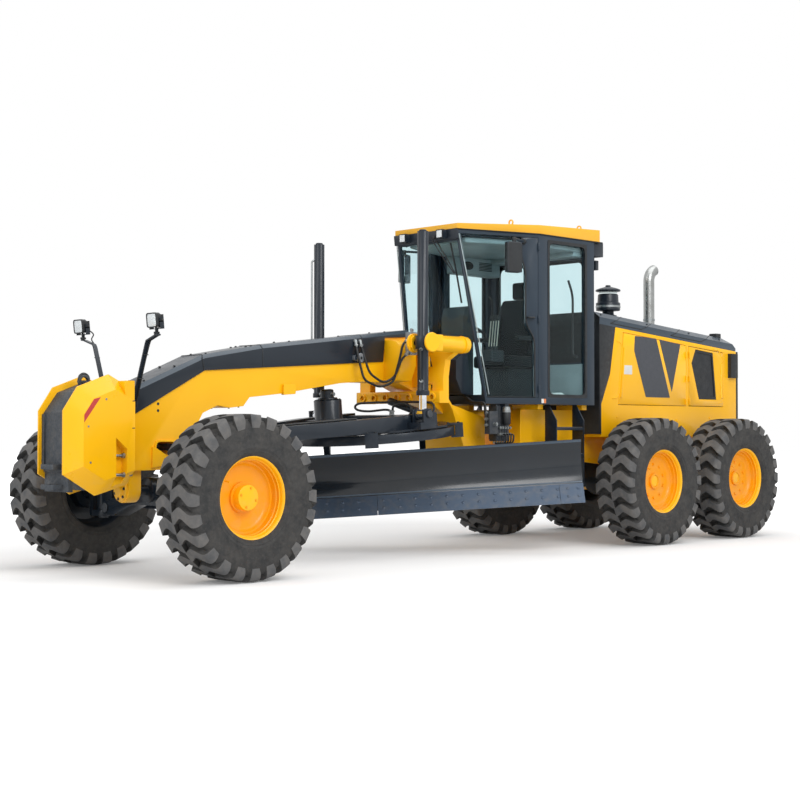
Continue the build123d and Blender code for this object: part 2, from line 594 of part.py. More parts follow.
def counterweight():
    """Two faceted castings with a ribbed steel block between them, bolted to the neck's nose."""
    outline = [(7300, 840), (7300, 1345), (7170, 1535), (6880, 1640), (6500, 1450), (6500, 800), (7005, 668)]
    face = make_face(Polyline(*[(x, 185, z) for x, z in outline], close=True).edges())
    bevelled = extrude(face, amount=115, dir=(0, 1, 0), taper=45) + slab("y", outline, 172, 186)
    casting = bevelled & block(6700, 7400, 172, 305, 600, 1700)
    casting -= slab("y", [(6775, 1040), (6880, 1130), (6880, 600), (6775, 600)], 220, 310)
    put("counterweight_castings", casting, mirrored(casting))
    core = slab("y", [(7255, 860), (7255, 1330), (7130, 1495), (6900, 1580), (6760, 1530), (6660, 1420), (6660, 800),
                      (7010, 705)], -172, 172)
    core += both(block(7250, 7272, 140, 172, 880, 1320))
    core += tube((6990, -14, 1585), (6990, 14, 1585), 55, 33)
    core += block(7230, 7330, -90, 90, 720, 760) + block(7230, 7330, -90, 90, 880, 920)
    core += block(7200, 7242, -172, 172, 700, 940)
    core -= round_plate("z", (7290, 0), 20, 700, 950, True)
    put("counterweight_core", core)
    foot, elbow, lamp = (6633, 200, 1410), (6633, 373, 1900), (6650, 520, 1960)
    arm = rod(foot, elbow, 16) + rod(elbow, lamp, 12) + rod(lamp, (6650, 527, 2040), 12)
    arm += block(6595, 6650, 175, 200, 1370, 1450) - block(6500, 6700, 100, 175, 1300, 1500)
    bowl = Plane(origin=(6630, 527, 2075), x_dir=(0, 1, 0), z_dir=(1, 0, -0.1))
    arm += extrude(bowl * Rectangle(135, 120), amount=75)
    put("front_lamps", arm, mirrored(arm))


def front_axle():
    """Axle beam on its pivot pin, lean brackets, knuckles, tie rod and lean bar."""
    x = FRONT_AXLE_X
    beam = slab("x", [
        (-560, 600), (-250, 640), (250, 640), (560, 600), (590, 560), (590, 470), (540, 450), (240, 560),
        (-240, 560), (-540, 450), (-590, 470), (-590, 560),
    ], x - 90, x + 90)
    beam += round_plate("x", (0, 690), 105, x - 120, x + 120) + block(x - 90, x + 90, -100, 100, 600, 690)
    beam += round_plate("x", (0, 690), 44, 5985, 6625)
    for y in (-LEAN_Y, LEAN_Y):
        sign = 1 if y > 0 else -1
        for x0 in (x - 90, x + 65):
            ear = round_plate("x", (y, LEAN_Z), 62, x0, x0 + 25)
            ear += block(x0, x0 + 25, min(y, y - sign * 90), max(y, y - sign * 90), LEAN_Z - 60, LEAN_Z + 60)
            beam += ear
        beam -= round_plate("x", (y, LEAN_Z), 26, x - 100, x + 100)
        beam -= block(x - 63, x + 63, min(y + sign * 80, y - sign * 75), max(y + sign * 80, y - sign * 75), 440, 620)
    put("front_axle", beam)
    bracket = slab("x", [(590, 480), (700, 480), (740, 510), (760, 760), (700, 820), (680, LEAN_TOP), (600, LEAN_TOP),
                         (600, 600)], x - 55, x + 55)
    bracket += round_plate("x", (LEAN_Y, LEAN_Z), 60, x - 55, x + 55)
    bracket += round_plate("x", (LEAN_Y, LEAN_TOP), 45, x - 55, x + 55)
    bracket -= round_plate("x", (LEAN_Y, LEAN_TOP), 21, x - 60, x + 60)
    bracket -= block(x - 22, x + 22, 580, 720, LEAN_TOP - 60, LEAN_TOP + 60)
    bracket += round_plate("z", (x, KINGPIN_Y), 55, 500, 780)
    bracket -= round_plate("z", (x, KINGPIN_Y), 28, 490, 790)
    bracket += round_plate("x", (LEAN_Y, LEAN_Z), 25, x - 92, x + 92)
    put("lean_bracket_left", bracket)
    put("lean_bracket_right", mirrored(bracket))
    knuckle = round_plate("z", (x, KINGPIN_Y), 25, 440, 840, True)
    for low in (440, 786):
        knuckle += slab("z", [(x - 55, 800), (x + 55, 800), (x + 75, 900), (x - 75, 900)], low, low + 54)
        knuckle += round_plate("z", (x, KINGPIN_Y), 55, low, low + 54)
    knuckle += block(x - 75, x + 75, 868, 905, 440, 840)
    knuckle += round_plate("y", (x, TYRE_R), 80, 900, 1010) + round_plate("y", (x, TYRE_R), 55, 1010, 1050)
    knuckle += slab("z", [(x - 40, 765), (x - 40, 850), (x - 255, 830), (x - 255, 770)], 440, 480)
    knuckle += round_plate("z", (x - TIE_ARM, KINGPIN_Y), 12, 470, TIE_Z)
    put("knuckle_left", knuckle)
    put("knuckle_right", mirrored(knuckle))
    bored = round_plate("z", (x - TIE_ARM, KINGPIN_Y), 14, 400, TIE_Z + 1)
    put("tie_ball", ball((x - TIE_ARM, KINGPIN_Y, TIE_Z), 20) - bored)
    tie = rod((x - TIE_ARM, 40 - KINGPIN_Y, TIE_Z), (x - TIE_ARM, KINGPIN_Y - 40, TIE_Z), 20)
    for y in (-KINGPIN_Y, KINGPIN_Y):
        tie += round_plate("z", (x - TIE_ARM, y), 47, TIE_Z - 15, TIE_Z + 15)
    for y in (-KINGPIN_Y, KINGPIN_Y):
        tie -= round_plate("z", (x - TIE_ARM, y), 38, TIE_Z - 30, TIE_Z + 30)
    put("tie_rod", tie)
    top = LEAN_TOP
    lean = block(x - 18, x + 18, -LEAN_Y, LEAN_Y, top - 30, top + 30)
    for y in (-LEAN_Y, LEAN_Y):
        lean += round_plate("x", (y, top), 40, x - 18, x + 18) + round_plate("x", (y, top), 19, x - 55, x + 55)
    put("lean_bar", lean)


# ---------------------------------------------------------------- drawbar, circle and blade

def on_circle(shape):
    """Place a shape from the circle's frame, whose origin is the ring's centre on its top face."""
    return Pos(CIRCLE_X, 0, CIRCLE_Z) * Rot(0, CIRCLE_PITCH, 0) * shape


def on_blade(shape):
    """Place a shape from the blade's frame, which is the circle's turned about its axis."""
    return on_circle(Rot(0, 0, BLADE_TURN) * shape)


def drawbar():
    """A-shaped drawbar with its ball socket, circle plate, shoes, lift eyes and turning gear."""
    reach = (BALL_X - CIRCLE_X) / math.cos(math.radians(CIRCLE_PITCH))
    rail = slab("z", [(reach - 160, 20), (reach - 160, 110), (420, 620), (-250, 620), (-250, 500), (380, 500)],
                20, 150)
    frame = both(rail)
    frame += slab("z", [(reach - 320, -130), (reach - 320, 130), (reach - 60, 60), (reach - 60, -60)], 10, 120)
    for x0, x1, half in ((-250, -130, 510), (330, 450, 520), (900, 1000, 420)):
        frame += block(x0, x1, -half, half, 20, 130)
    plate = slab("z", [(-700, -300), (-700, 300), (-300, 700), (300, 700), (700, 300), (700, -300), (300, -700),
                       (-300, -700)], 6, 24)
    plate -= slab("z", [(-560, -240), (-560, 240), (-240, 560), (240, 560), (560, 240), (560, -240),
                        (240, -560), (-240, -560)], 0, 30)
    frame += plate
    for turn in (45, 135, 225, 315):
        shoe = block(690, 862, -60, 60, 3, 24) + block(785, 862, -60, 60, -112, 24)
        shoe += block(745, 862, -60, 60, -112, -92)
        frame += Rot(0, 0, turn) * shoe
    eye_x = LIFT_X - CIRCLE_X
    for sign in (-1, 1):
        y = sign * LIFT_Y
        frame += block(eye_x - 100, eye_x + 100, min(sign * 600, y - 75), max(sign * 600, y + 75), 20, 80)
        for low in (y - 75, y + 57):
            frame += block(eye_x - 55, eye_x + 55, low, low + 18, 20, 200)
    frame += round_plate("z", (560, 0), 130, 24, 330) + round_plate("z", (560, 0), 60, 330, 420)
    frame += block(430, 700, -200, 200, 20, 60)
    shift = rod((3540, 20, 1470), (3545, 430, 1358), 38)
    centre = (BALL_X, 0, BALL_Z)
    stem = rod((BALL_X - 330, 0, BALL_Z + 70), centre, 45)
    put("drawbar", on_circle(frame) + stem + ball(centre, 70) + shift)


def circle():
    """Toothed circle with the two arms that carry the blade."""
    teeth = 40
    points = []
    for i in range(teeth):
        for share, radius in ((0.0, CIRCLE_BORE), (0.3, CIRCLE_BORE - 26), (0.6, CIRCLE_BORE - 26), (0.9, CIRCLE_BORE)):
            angle = 2 * math.pi * (i + share) / teeth
            points.append((radius * math.cos(angle), radius * math.sin(angle)))
    outer = extrude(Pos(0, 0, -85) * RegularPolygon(CIRCLE_R, 48), amount=83)
    ring = outer - slab("z", points, -90, 0)
    arm = slab("y", [
        (-540, -80), (-540, -160), (-300, -690), (-230, -735), (-175, -720), (-165, -610), (-330, -300),
        (-240, -80),
    ], 440, 500)
    arm -= round_plate("y", (TIP_PIN_X, TIP_PIN_Z), 26, 430, 510)
    arms = both(arm) + rod((-400, -450, -400), (-400, 450, -400), 60)
    put("circle", on_blade(ring + arms))


def face_x(z, depth=0):
    """X of the blade's concave front face at a height, or of a face at some depth behind it."""
    return 375 - math.sqrt((430 + depth) ** 2 - (z + 480) ** 2)


def arc_face(z0, z1, d0, d1):
    """Face between two depths of the blade's arc, from one height to another."""
    mid = (z0 + z1) / 2
    front = ThreePointArc((face_x(z0, d0), 0, z0), (face_x(mid, d0), 0, mid), (face_x(z1, d0), 0, z1))
    back = ThreePointArc((face_x(z0, d1), 0, z0), (face_x(mid, d1), 0, mid), (face_x(z1, d1), 0, z1))
    low = Line((face_x(z0, d0), 0, z0), (face_x(z0, d1), 0, z0))
    high = Line((face_x(z1, d0), 0, z1), (face_x(z1, d1), 0, z1))
    return make_face([front.edge(), high.edge(), back.edge(), low.edge()])


def blade():
    """Curved mouldboard with slide rails on its back, cutting edges and end bits."""
    half = BLADE_LENGTH / 2
    board = Pos(0, half, 0) * extrude(arc_face(BLADE_EDGE_Z + 40, BLADE_TOP_Z, 0, 22), amount=2 * half, dir=(0, -1, 0))
    for z in (-390, -610):
        back = face_x(z, 20)
        board += block(back - 60, back, -1350, 1350, z - 20, z + 20)
    put("blade", on_blade(board))
    low, high = BLADE_EDGE_Z + 38, -640
    x0, x1 = face_x(low) + 2, face_x(high) + 2
    slope = (x1 - x0) / (high - low)
    bottom = x0 + (BLADE_EDGE_Z - low) * slope
    outline = [(bottom, BLADE_EDGE_Z), (x1, high), (x1 + 16, high + 10), (bottom + 20, BLADE_EDGE_Z + 4)]
    edges = []
    for y0, y1 in ((-half, -half + 230), (-half + 233, -2), (2, half - 233), (half - 230, half)):
        edges.append(on_blade(slab("y", outline, y0, y1)))
    put("cutting_edges", *edges)


def blade_carriage():
    """Tilting brackets that hold the blade's rails, and the tip cylinder."""
    bracket = slab("y", [
        (TIP_PIN_X - 30, TIP_PIN_Z - 40), (TIP_PIN_X + 40, TIP_PIN_Z - 40), (-125, -570), (-125, -350),
        (-160, -320), (-230, -340), (-230, -560),
    ], 360, 430)
    bracket += round_plate("y", (TIP_PIN_X, TIP_PIN_Z), 45, 360, 435)
    for z in (-390, -610):
        back = face_x(z, 20)
        bracket += block(back - 100, back - 20, 320, 430, z - 52, z + 52)
        bracket -= block(back - 68, back + 10, 310, 440, z - 28, z + 28)
    bracket += round_plate("y", (TIP_PIN_X, TIP_PIN_Z), 24, 430, 502)
    cross = rod((-205, -370, -450), (-205, 370, -450), 35)
    put("blade_carriage", on_blade(both(bracket) + cross))


def hose(points, bend, radius=11):
    """A hose along rounded corners, six-sided like all the thin bars."""
    path = FilletPolyline(*points, radius=bend)
    return sweep(Plane(origin=path @ 0, z_dir=path % 0) * RegularPolygon(radius, 6), path=path)


def neck_hoses():
    """Two hoses from the neck past a clamp, down in a loop and up to the manifold on the saddle."""
    first = hose([(4153, 188, 2010), (4165, 232, 1880), (4130, 275, 1655), (3950, 300, 1590), (3800, 330, 1640),
                  (3785, 400, 1860), (3778, 434, 2000), (3709, 436, 2042)], 40)
    second = hose([(4094, 188, 2010), (4090, 232, 1890), (4060, 275, 1720), (3900, 300, 1630), (3788, 340, 1690),
                   (3786, 418, 1850), (3712, 438, 1922)], 40)
    put("neck_hoses", first, second)


def drawbar_hoses():
    """Two hoses that loop over the drawbar's cross member, held at both ends by the drawbar."""
    first = hose([(3570, 60, 1343), (3570, 60, 1388), (3640, -170, 1372), (3690, -290, 1370), (3690, -300, 1450),
                  (3650, -180, 1455), (3640, 200, 1455), (3610, 640, 1450), (3650, 735, 1380), (3712, 705, 1282)], 28)
    second = hose([(3592, 110, 1342), (3592, 110, 1405), (3660, 200, 1440), (3680, 400, 1440), (3700, 470, 1375),
                   (3700, 400, 1310), (3690, 200, 1300), (3653, 60, 1300)], 28)
    put("drawbar_hoses", first, second)


def build_all():
    """Make every node of the machine."""
    for make in (wheels, rear_frame, tandem, engine, hood, hood_doors, rear_grille, stacks, cab, front_frame,
                 neck_cover, saddle, lift_cylinders, counterweight, front_axle, drawbar, circle, blade,
                 blade_carriage, neck_hoses, drawbar_hoses):
        make()


def write_parts():
    """Write one STEP file for each node."""
    os.makedirs("parts", exist_ok=True)
    for name, solids in PARTS.items():
        placed = [solid.moved(Location((-ORIGIN_AHEAD, 0, 0))) for solid in solids]
        export_step(placed[0] if len(placed) == 1 else Compound(children=placed), "parts/{}.step".format(name))


build_all()
write_parts()
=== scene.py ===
"""Motor grader: finishes and fine pieces fitted round the packed frame.

Lengths are metres. The row frame's X is measured from the machine's middle, and at() turns stations
measured ahead of the point midway between the tandem axles into it. Z is height above the ground.
A patch is an array of points with a list of arrays that hold its faces' corner numbers.
"""

import json
import math

import bmesh
import bpy
import numpy as np
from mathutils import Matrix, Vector

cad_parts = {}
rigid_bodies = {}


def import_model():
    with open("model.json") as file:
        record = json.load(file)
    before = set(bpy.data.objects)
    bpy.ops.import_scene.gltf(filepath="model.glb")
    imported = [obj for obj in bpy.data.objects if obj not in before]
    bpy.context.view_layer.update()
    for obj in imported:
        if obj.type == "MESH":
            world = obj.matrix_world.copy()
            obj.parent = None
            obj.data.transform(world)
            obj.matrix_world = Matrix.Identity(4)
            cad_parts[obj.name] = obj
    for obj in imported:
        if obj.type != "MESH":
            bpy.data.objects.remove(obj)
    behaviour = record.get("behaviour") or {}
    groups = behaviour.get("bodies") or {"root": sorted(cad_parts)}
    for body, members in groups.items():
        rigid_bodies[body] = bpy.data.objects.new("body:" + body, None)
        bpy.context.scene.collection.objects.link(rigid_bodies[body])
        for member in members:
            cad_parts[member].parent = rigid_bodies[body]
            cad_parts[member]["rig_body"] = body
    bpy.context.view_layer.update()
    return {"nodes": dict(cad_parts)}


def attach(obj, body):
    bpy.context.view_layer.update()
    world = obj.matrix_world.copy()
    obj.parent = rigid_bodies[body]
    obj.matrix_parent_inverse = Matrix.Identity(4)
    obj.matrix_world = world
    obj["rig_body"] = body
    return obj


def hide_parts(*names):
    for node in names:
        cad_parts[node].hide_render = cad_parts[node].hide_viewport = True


bl_info = {
    "name": "Motor grader finishes",
    "version": (1, 0, 0),
    "blender": (4, 5, 0),
    "location": "View3D > Sidebar > Grader",
    "description": "Dresses the frame of a motor grader with tyres, glass, hoses, trim and paint",
    "category": "Add Mesh",
}

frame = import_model()

MIDDLE = 2.815  # station of the row frame's origin ahead of the tandem's centre
BLADE_TURN, CIRCLE_PITCH = math.radians(45), math.radians(5)
CIRCLE_CENTRE = (3.75, 0.0, 1.19)
DOOR = (2.130, 0.720, 0.0)  # hinge line of the left door
DOOR_TURN = math.atan2(0.300, 0.880)
LIFT_X, LIFT_Y = 3.800, 0.717  # axis of the left lift cylinder
X, Y, Z = (1, 0, 0), (0, 1, 0), (0, 0, 1)


# ---------------------------------------------------------------- shapes

def at(points):
    """Points measured from the tandem's centre, moved into the row frame."""
    return np.asarray(points, float) - (MIDDLE, 0.0, 0.0)


def quads(rows, columns, wrap_rows=False, wrap_columns=False):
    """Corner numbers of the quads between neighbours on a rows x columns grid of points."""
    i, j = np.meshgrid(
        np.arange(rows if wrap_rows else rows - 1),
        np.arange(columns if wrap_columns else columns - 1),
        indexing="ij",
    )
    i2, j2 = (i + 1) % rows, (j + 1) % columns
    corners = [i * columns + j, i2 * columns + j, i2 * columns + j2, i * columns + j2]
    return np.stack(corners, -1).reshape(-1, 4)


def grid(points, wrap_rows=False, wrap_columns=False):
    """A patch from a (rows, columns, 3) array: each point is joined to its neighbours."""
    rows, columns = points.shape[:2]
    return points.reshape(-1, 3), [quads(rows, columns, wrap_rows, wrap_columns)]


def joined(*patches):
    """Several patches as one: the points in a row, and the faces moved on by the points before them."""
    starts = np.cumsum([0] + [len(points) for points, _ in patches])
    faces = [group + start for (_, groups), start in zip(patches, starts) for group in groups]
    return np.concatenate([points for points, _ in patches]), faces


def moved(patch, offset=(0, 0, 0), matrix=None):
    """A patch after a 3x3 matrix and an offset."""
    points = patch[0] if matrix is None else patch[0] @ np.asarray(matrix).T
    return points + np.asarray(offset, float), patch[1]


def placed(patch):
    """A patch from the tandem's frame, in the row frame."""
    return moved(patch, (-MIDDLE, 0, 0))


def same(patch):
    """The patch as it is, for the left side."""
    return patch


def flipped(patch):
    """A patch mirrored to the machine's other side."""
    return patch[0] * (1.0, -1.0, 1.0), patch[1]


def both(patch):
    """A patch and its mirror image."""
    return joined(patch, flipped(patch))


SIDES = (("left", same), ("right", flipped))


def repeated(patch, places):
    """Copies of a patch at each offset: points[k, i] = place[k] + point[i]."""
    points, groups = patch
    places = np.asarray(places, float)
    shifts = np.arange(len(places)) * len(points)
    faces = [(group[None] + shifts[:, None, None]).reshape(-1, group.shape[1]) for group in groups]
    return (places[:, None] + points[None]).reshape(-1, 3), faces


def lathe(profile, centre, direction=Y, sides=48, closed=False):
    """Surface of revolution: centre + station*d + radius*(cos t * across + sin t * up).

    The profile's columns are station and radius; radius 0 closes an end at its pole."""
    d = np.asarray(direction, float)
    d = d / np.linalg.norm(d)
    across = np.cross(X if abs(d[2]) > 0.95 else Z, d)
    across /= np.linalg.norm(across)
    up = np.cross(d, across)
    profile = np.asarray(profile, float)
    t = np.arange(sides) * 2 * math.pi / sides
    ring = np.cos(t)[:, None] * across + np.sin(t)[:, None] * up
    points = profile[:, 0, None, None] * d + profile[:, 1, None, None] * ring[None]
    return grid(points + np.asarray(centre, float), wrap_rows=closed, wrap_columns=True)


def turned(profile, centre, direction=Y, sides=28):
    """Solid of revolution: a lathe whose profile is closed by poles at its first and last stations."""
    return lathe([(profile[0][0], 0), *profile, (profile[-1][0], 0)], centre, direction, sides)


def torus(centre, normal, radius, thick, sides=56):
    """Torus: centre + (radius + thick cos u) r(t) + thick sin u n, as a closed lathe of a small circle."""
    u = np.linspace(0, 2 * math.pi, 13)[:-1]
    return lathe(np.stack([thick * np.sin(u), radius + thick * np.cos(u)], -1), centre, normal, sides,
                 closed=True)


def peg(start, end, radius, sides=20, rounding=0.0):
    """Solid round bar: a lathe of radius r between two points, its rims rounded by a quarter circle."""
    start, end = np.asarray(start, float), np.asarray(end, float)
    length = np.linalg.norm(end - start)
    body = [(0, radius), (length, radius)]
    if rounding:
        q = np.linspace(0, math.pi / 2, 4)
        low = np.stack([rounding * (1 - np.sin(q))[::-1], radius - rounding * (1 - np.cos(q))[::-1]], -1)
        body = np.concatenate([low, np.stack([length - low[::-1, 0], low[::-1, 1]], -1)])
        return lathe(np.concatenate([[[0, 0]], body, [[length, 0]]]), start, end - start, sides)
    return turned(body, start, end - start, sides)


def upright(x, y, low, high, radius, sides=20, rounding=0.0):
    """Upright peg at a station and a distance to the left."""
    return peg(at((x, y, low)), at((x, y, high)), radius, sides, rounding)


def spline(points, steps=8):
    """Smooth line through points: a Catmull-Rom cubic on each span, its ends' tangents one-sided."""
    p = np.asarray(points, float)
    p = np.concatenate([[2 * p[0] - p[1]], p, [2 * p[-1] - p[-2]]])
    t = np.linspace(0, 1, steps, endpoint=False)[:, None, None]
    a, b, c, d = p[:-3], p[1:-2], p[2:-1], p[3:]
    cubic = 0.5 * (2 * b + (c - a) * t + (2 * a - 5 * b + 4 * c - d) * t**2 + (3 * b - 3 * c + d - a) * t**3)
    return np.concatenate([cubic.transpose(1, 0, 2).reshape(-1, p.shape[1]), p[-2:-1]])


def sides_along(line):
    """Unit side and up at each point of a line: side = n x tangent, where n is the direction that the
    line moves in least, from its points' singular vectors."""
    tangent = np.gradient(line, axis=0)
    tangent /= np.linalg.norm(tangent, axis=1, keepdims=True)
    least = np.linalg.svd(line - line.mean(0), full_matrices=True)[2][2]
    side = np.cross(least, tangent)
    side /= np.linalg.norm(side, axis=1, keepdims=True)
    return side, np.cross(tangent, side)


def rings_along(line, sides):
    """Unit circle round each point of a line: cos t * side + sin t * up."""
    side, up = sides_along(line)
    t = np.arange(sides) * 2 * math.pi / sides
    return np.cos(t)[None, :, None] * side[:, None] + np.sin(t)[None, :, None] * up[:, None]


def bar(line, rings):
    """Bar that carries rings along a line, its two ends closed at their centres."""
    ends = [np.repeat(line[k][None, None], rings.shape[1], 1) for k in (0, -1)]
    return grid(np.concatenate([ends[0], line[:, None] + rings, ends[1]]), wrap_columns=True)


def hose(points, radius, sides=12, steps=8, smooth=True):
    """Round bar along a line, which is smoothed by a spline where smooth is set."""
    line = spline(points, steps) if smooth else np.asarray(points, float)
    return bar(line, radius * rings_along(line, sides))


def strip(points, width, thickness, steps=1):
    """Flat bar along a line: a rectangle of width x thickness carried along it."""
    line = spline(points, steps) if steps > 1 else np.asarray(points, float)
    side, up = sides_along(line)
    corners = np.array([(-1, -1), (1, -1), (1, 1), (-1, 1)]) * 0.5
    across, through = corners[None, :, :1] * width, corners[None, :, 1:] * thickness
    return bar(line, across * up[:, None] + through * side[:, None])


def pipe(points, radius, wall, sides=40):
    """Open tube: rings at radius going along a line, and rings at radius - wall coming back."""
    line = np.asarray(points, float)
    ring = rings_along(line, sides)
    outer, inner = line[:, None] + radius * ring, (line[:, None] + (radius - wall) * ring)[::-1]
    return grid(np.concatenate([outer, inner]), wrap_rows=True, wrap_columns=True)


def layers(outlines, stations, axis):
    """Flat outlines set at stations along an axis: x takes (y, z), y takes (x, z) and z takes (x, y)."""
    stack = [np.column_stack([flat, np.full(len(flat), station)])
             for flat, station in zip(outlines, stations)]
    return np.stack(stack)[..., {"x": (2, 0, 1), "y": (0, 2, 1), "z": (0, 1, 2)}[axis]]


def prism(outline, axis, low, high):
    """Closed outline carried along an axis between two stations, with flat ends."""
    n = len(outline)
    caps = [np.arange(n)[None], np.arange(n)[None] + n]
    points = layers((outline, outline), (low, high), axis).reshape(-1, 3)
    return points, [quads(2, n, wrap_columns=True), *caps]


def ring_plate(outer, inner, axis, low, high):
    """Frame between two outlines of equal length: the section's four corners carried round them."""
    return grid(layers((outer, outer, inner, inner), (low, high, high, low), axis), wrap_rows=True,
                wrap_columns=True)


def loft(outline, axis, levels):
    """Closed outline scaled about its middle at each level; levels' columns are station and scale."""
    flat = np.asarray(outline, float)
    middle = flat.mean(0)
    outlines = [middle + (flat - middle) * scale for _, scale in levels]
    return grid(layers(outlines, [station for station, _ in levels], axis), wrap_columns=True)


def rectangle(a0, a1, b0, b1, grow=0.0):
    """Corners of a rectangle, grown on all sides."""
    return [(a0 - grow, b0 - grow), (a1 + grow, b0 - grow), (a1 + grow, b1 + grow), (a0 - grow, b1 + grow)]


def box(low, high):
    """Rectangular block between two corners."""
    return prism(rectangle(low[0], high[0], low[1], high[1]), "z", low[2], high[2])


def block(low, high):
    """Rectangular block between two corners in the tandem's frame."""
    return box(at(low), at(high))


def side_prism(outline, low, high):
    """Outline of (station, height) carried across the machine, in the row frame."""
    return placed(prism(outline, "y", low, high))


def corner_curves(points, before, after, reach, steps):
    """Quadratic curve at each corner, between points at a reach along the edges before and after it."""
    a = points + before / np.linalg.norm(before, axis=1, keepdims=True) * reach
    b = points + after / np.linalg.norm(after, axis=1, keepdims=True) * reach
    t = np.linspace(0, 1, steps)[None, :, None]
    curve = (1 - t) ** 2 * a[:, None] + 2 * t * (1 - t) * points[:, None] + t**2 * b[:, None]
    return curve.reshape(-1, points.shape[1])


def rounded(outline, radius, steps=5):
    """Closed outline with curved corners."""
    p = np.asarray(outline, float)
    return corner_curves(p, np.roll(p, 1, 0) - p, np.roll(p, -1, 0) - p, radius, steps)


def bend(points, radius, steps=6):
    """Open line with curved inner corners, whose reach is under half of each edge."""
    p = np.asarray(points, float)
    before, after = p[:-2] - p[1:-1], p[2:] - p[1:-1]
    near, far = np.linalg.norm(before, axis=1, keepdims=True), np.linalg.norm(after, axis=1, keepdims=True)
    reach = np.minimum(radius, 0.48 * np.minimum(near, far))
    return np.concatenate([p[:1], corner_curves(p[1:-1], before, after, reach, steps), p[-1:]])


def bent_hose(points, radius, corner, sides=14):
    """Round bar along a line with curved corners."""
    return hose(bend(points, corner, 9), radius, sides, smooth=False)


def bead(points, radius, sides=6):
    """Thin round bar along straight lines, for seams, edges and seals."""
    return hose(points, radius, sides, smooth=False)


def bolts(places, direction, radius=0.011, height=0.008):
    """Domed hexagon heads on washers at each place: a six-sided lathe stacked on a round one."""
    head = lathe([(0, radius), (height * 0.7, radius), (height, radius * 0.8), (height, 0)], (0, 0, 0),
                 direction, 6)
    washer = turned([(-0.001, radius * 1.35), (height * 0.2, radius * 1.35)], (0, 0, 0), direction, 14)
    return repeated(joined(head, washer), places)


def fitting(start, end, radius):
    """Hose fitting: a crimped collar, a hexagon and a neck between two points."""
    start, end = np.asarray(start, float), np.asarray(end, float)
    length, direction = np.linalg.norm(end - start), end - start
    collar = [(0, 1.35), (0.18, 1.35), (0.2, 1.2), (0.45, 1.2), (0.47, 1), (1, 1)]
    nut = [(0.55, 1), (0.55, 1.6), (0.85, 1.6), (0.85, 1)]
    scale = (length, radius)
    return joined(turned(np.multiply(collar, scale), start, direction, 18),
                  lathe(np.multiply(nut, scale), start, direction, 6))


def tilted(patch, centre, pitch, turn=0.0):
    """A patch turned about Z by turn, then about Y by pitch, then moved to centre and the row frame."""
    p = patch[0]
    c, s = math.cos(turn), math.sin(turn)
    x, y, z = p[..., 0] * c - p[..., 1] * s, p[..., 0] * s + p[..., 1] * c, p[..., 2]
    c, s = math.cos(pitch), math.sin(pitch)
    return at(np.stack([x * c + z * s, y, -x * s + z * c], -1) + np.asarray(centre, float)), patch[1]


def on_blade(patch):
    """A patch from the blade's frame."""
    return tilted(patch, CIRCLE_CENTRE, CIRCLE_PITCH, BLADE_TURN)


def on_circle(patch):
    """A patch from the circle's frame."""
    return tilted(patch, CIRCLE_CENTRE, CIRCLE_PITCH)


def on_door(patch):
    """A patch whose x runs along the left door, y out of it and z up."""
    return tilted(patch, DOOR, 0.0, -DOOR_TURN)


def nose_x(z):
    """Station of the leaning windscreen at a height."""
    return 3.010 - (3.160 - z) * 0.300 / 1.710


def hood_top(x):
    """Height of the hood's top at a station."""
    return 2.445 + (x - 1.100) * 0.183 / 2.430


def blade_x(z):
    """Station of the mouldboard's front face at a height, in the blade's frame: an arc of a circle."""
    return 0.375 - np.sqrt(0.430**2 - (z + 0.480) ** 2)


# ---------------------------------------------------------------- objects

LOOKS = {}  # finishes by name, filled by make_looks


def add_piece(name, body, parts, turn=same, replaces=(), bevel=0.0, angle=38,
              segments=2):
    """Make one object, close its seams and tie it to a body.

    parts gives each finish its patch or list of patches, and turn takes every patch to its place."""
    patches = [turn(patch if isinstance(patch, tuple) else joined(*patch)) for patch in parts.values()]
    points, faces = joined(*patches)
    mesh = bpy.data.meshes.new(name)
    mesh.from_pydata(points.tolist(), [], [face for group in faces for face in group.tolist()])
    counts = [sum(len(group) for group in groups) for _, groups in patches]
    mesh.polygons.foreach_set("material_index", np.repeat(np.arange(len(parts), dtype=np.int32), counts))
    for look in parts:
        mesh.materials.append(LOOKS[look])
    work = bmesh.new()
    work.from_mesh(mesh)
    bmesh.ops.remove_doubles(work, verts=work.verts, dist=1e-5)
    bmesh.ops.dissolve_degenerate(work, edges=work.edges, dist=1e-6)
    bmesh.ops.recalc_face_normals(work, faces=work.faces)
    work.to_mesh(mesh)
    work.free()
    return settle(bpy.data.objects.new(name, mesh), body, replaces, bevel, angle, segments)


def settle(piece, body, replaces, bevel, angle, segments):
    """Link an object, round its edges and tie it to the frame."""
    bpy.context.scene.collection.objects.link(piece)
    piece.data.shade_smooth()
    if bevel:
        edge = piece.modifiers.new("Rounded edges", "BEVEL")
        edge.width, edge.segments, edge.limit_method = bevel, segments, "ANGLE"
        edge.angle_limit, edge.harden_normals, edge.use_clamp_overlap = math.radians(angle), True, True
    else:
        piece.data.set_sharp_from_angle(angle=math.radians(angle))
    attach(piece, body)
    if replaces:
        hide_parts(*replaces)
    return piece


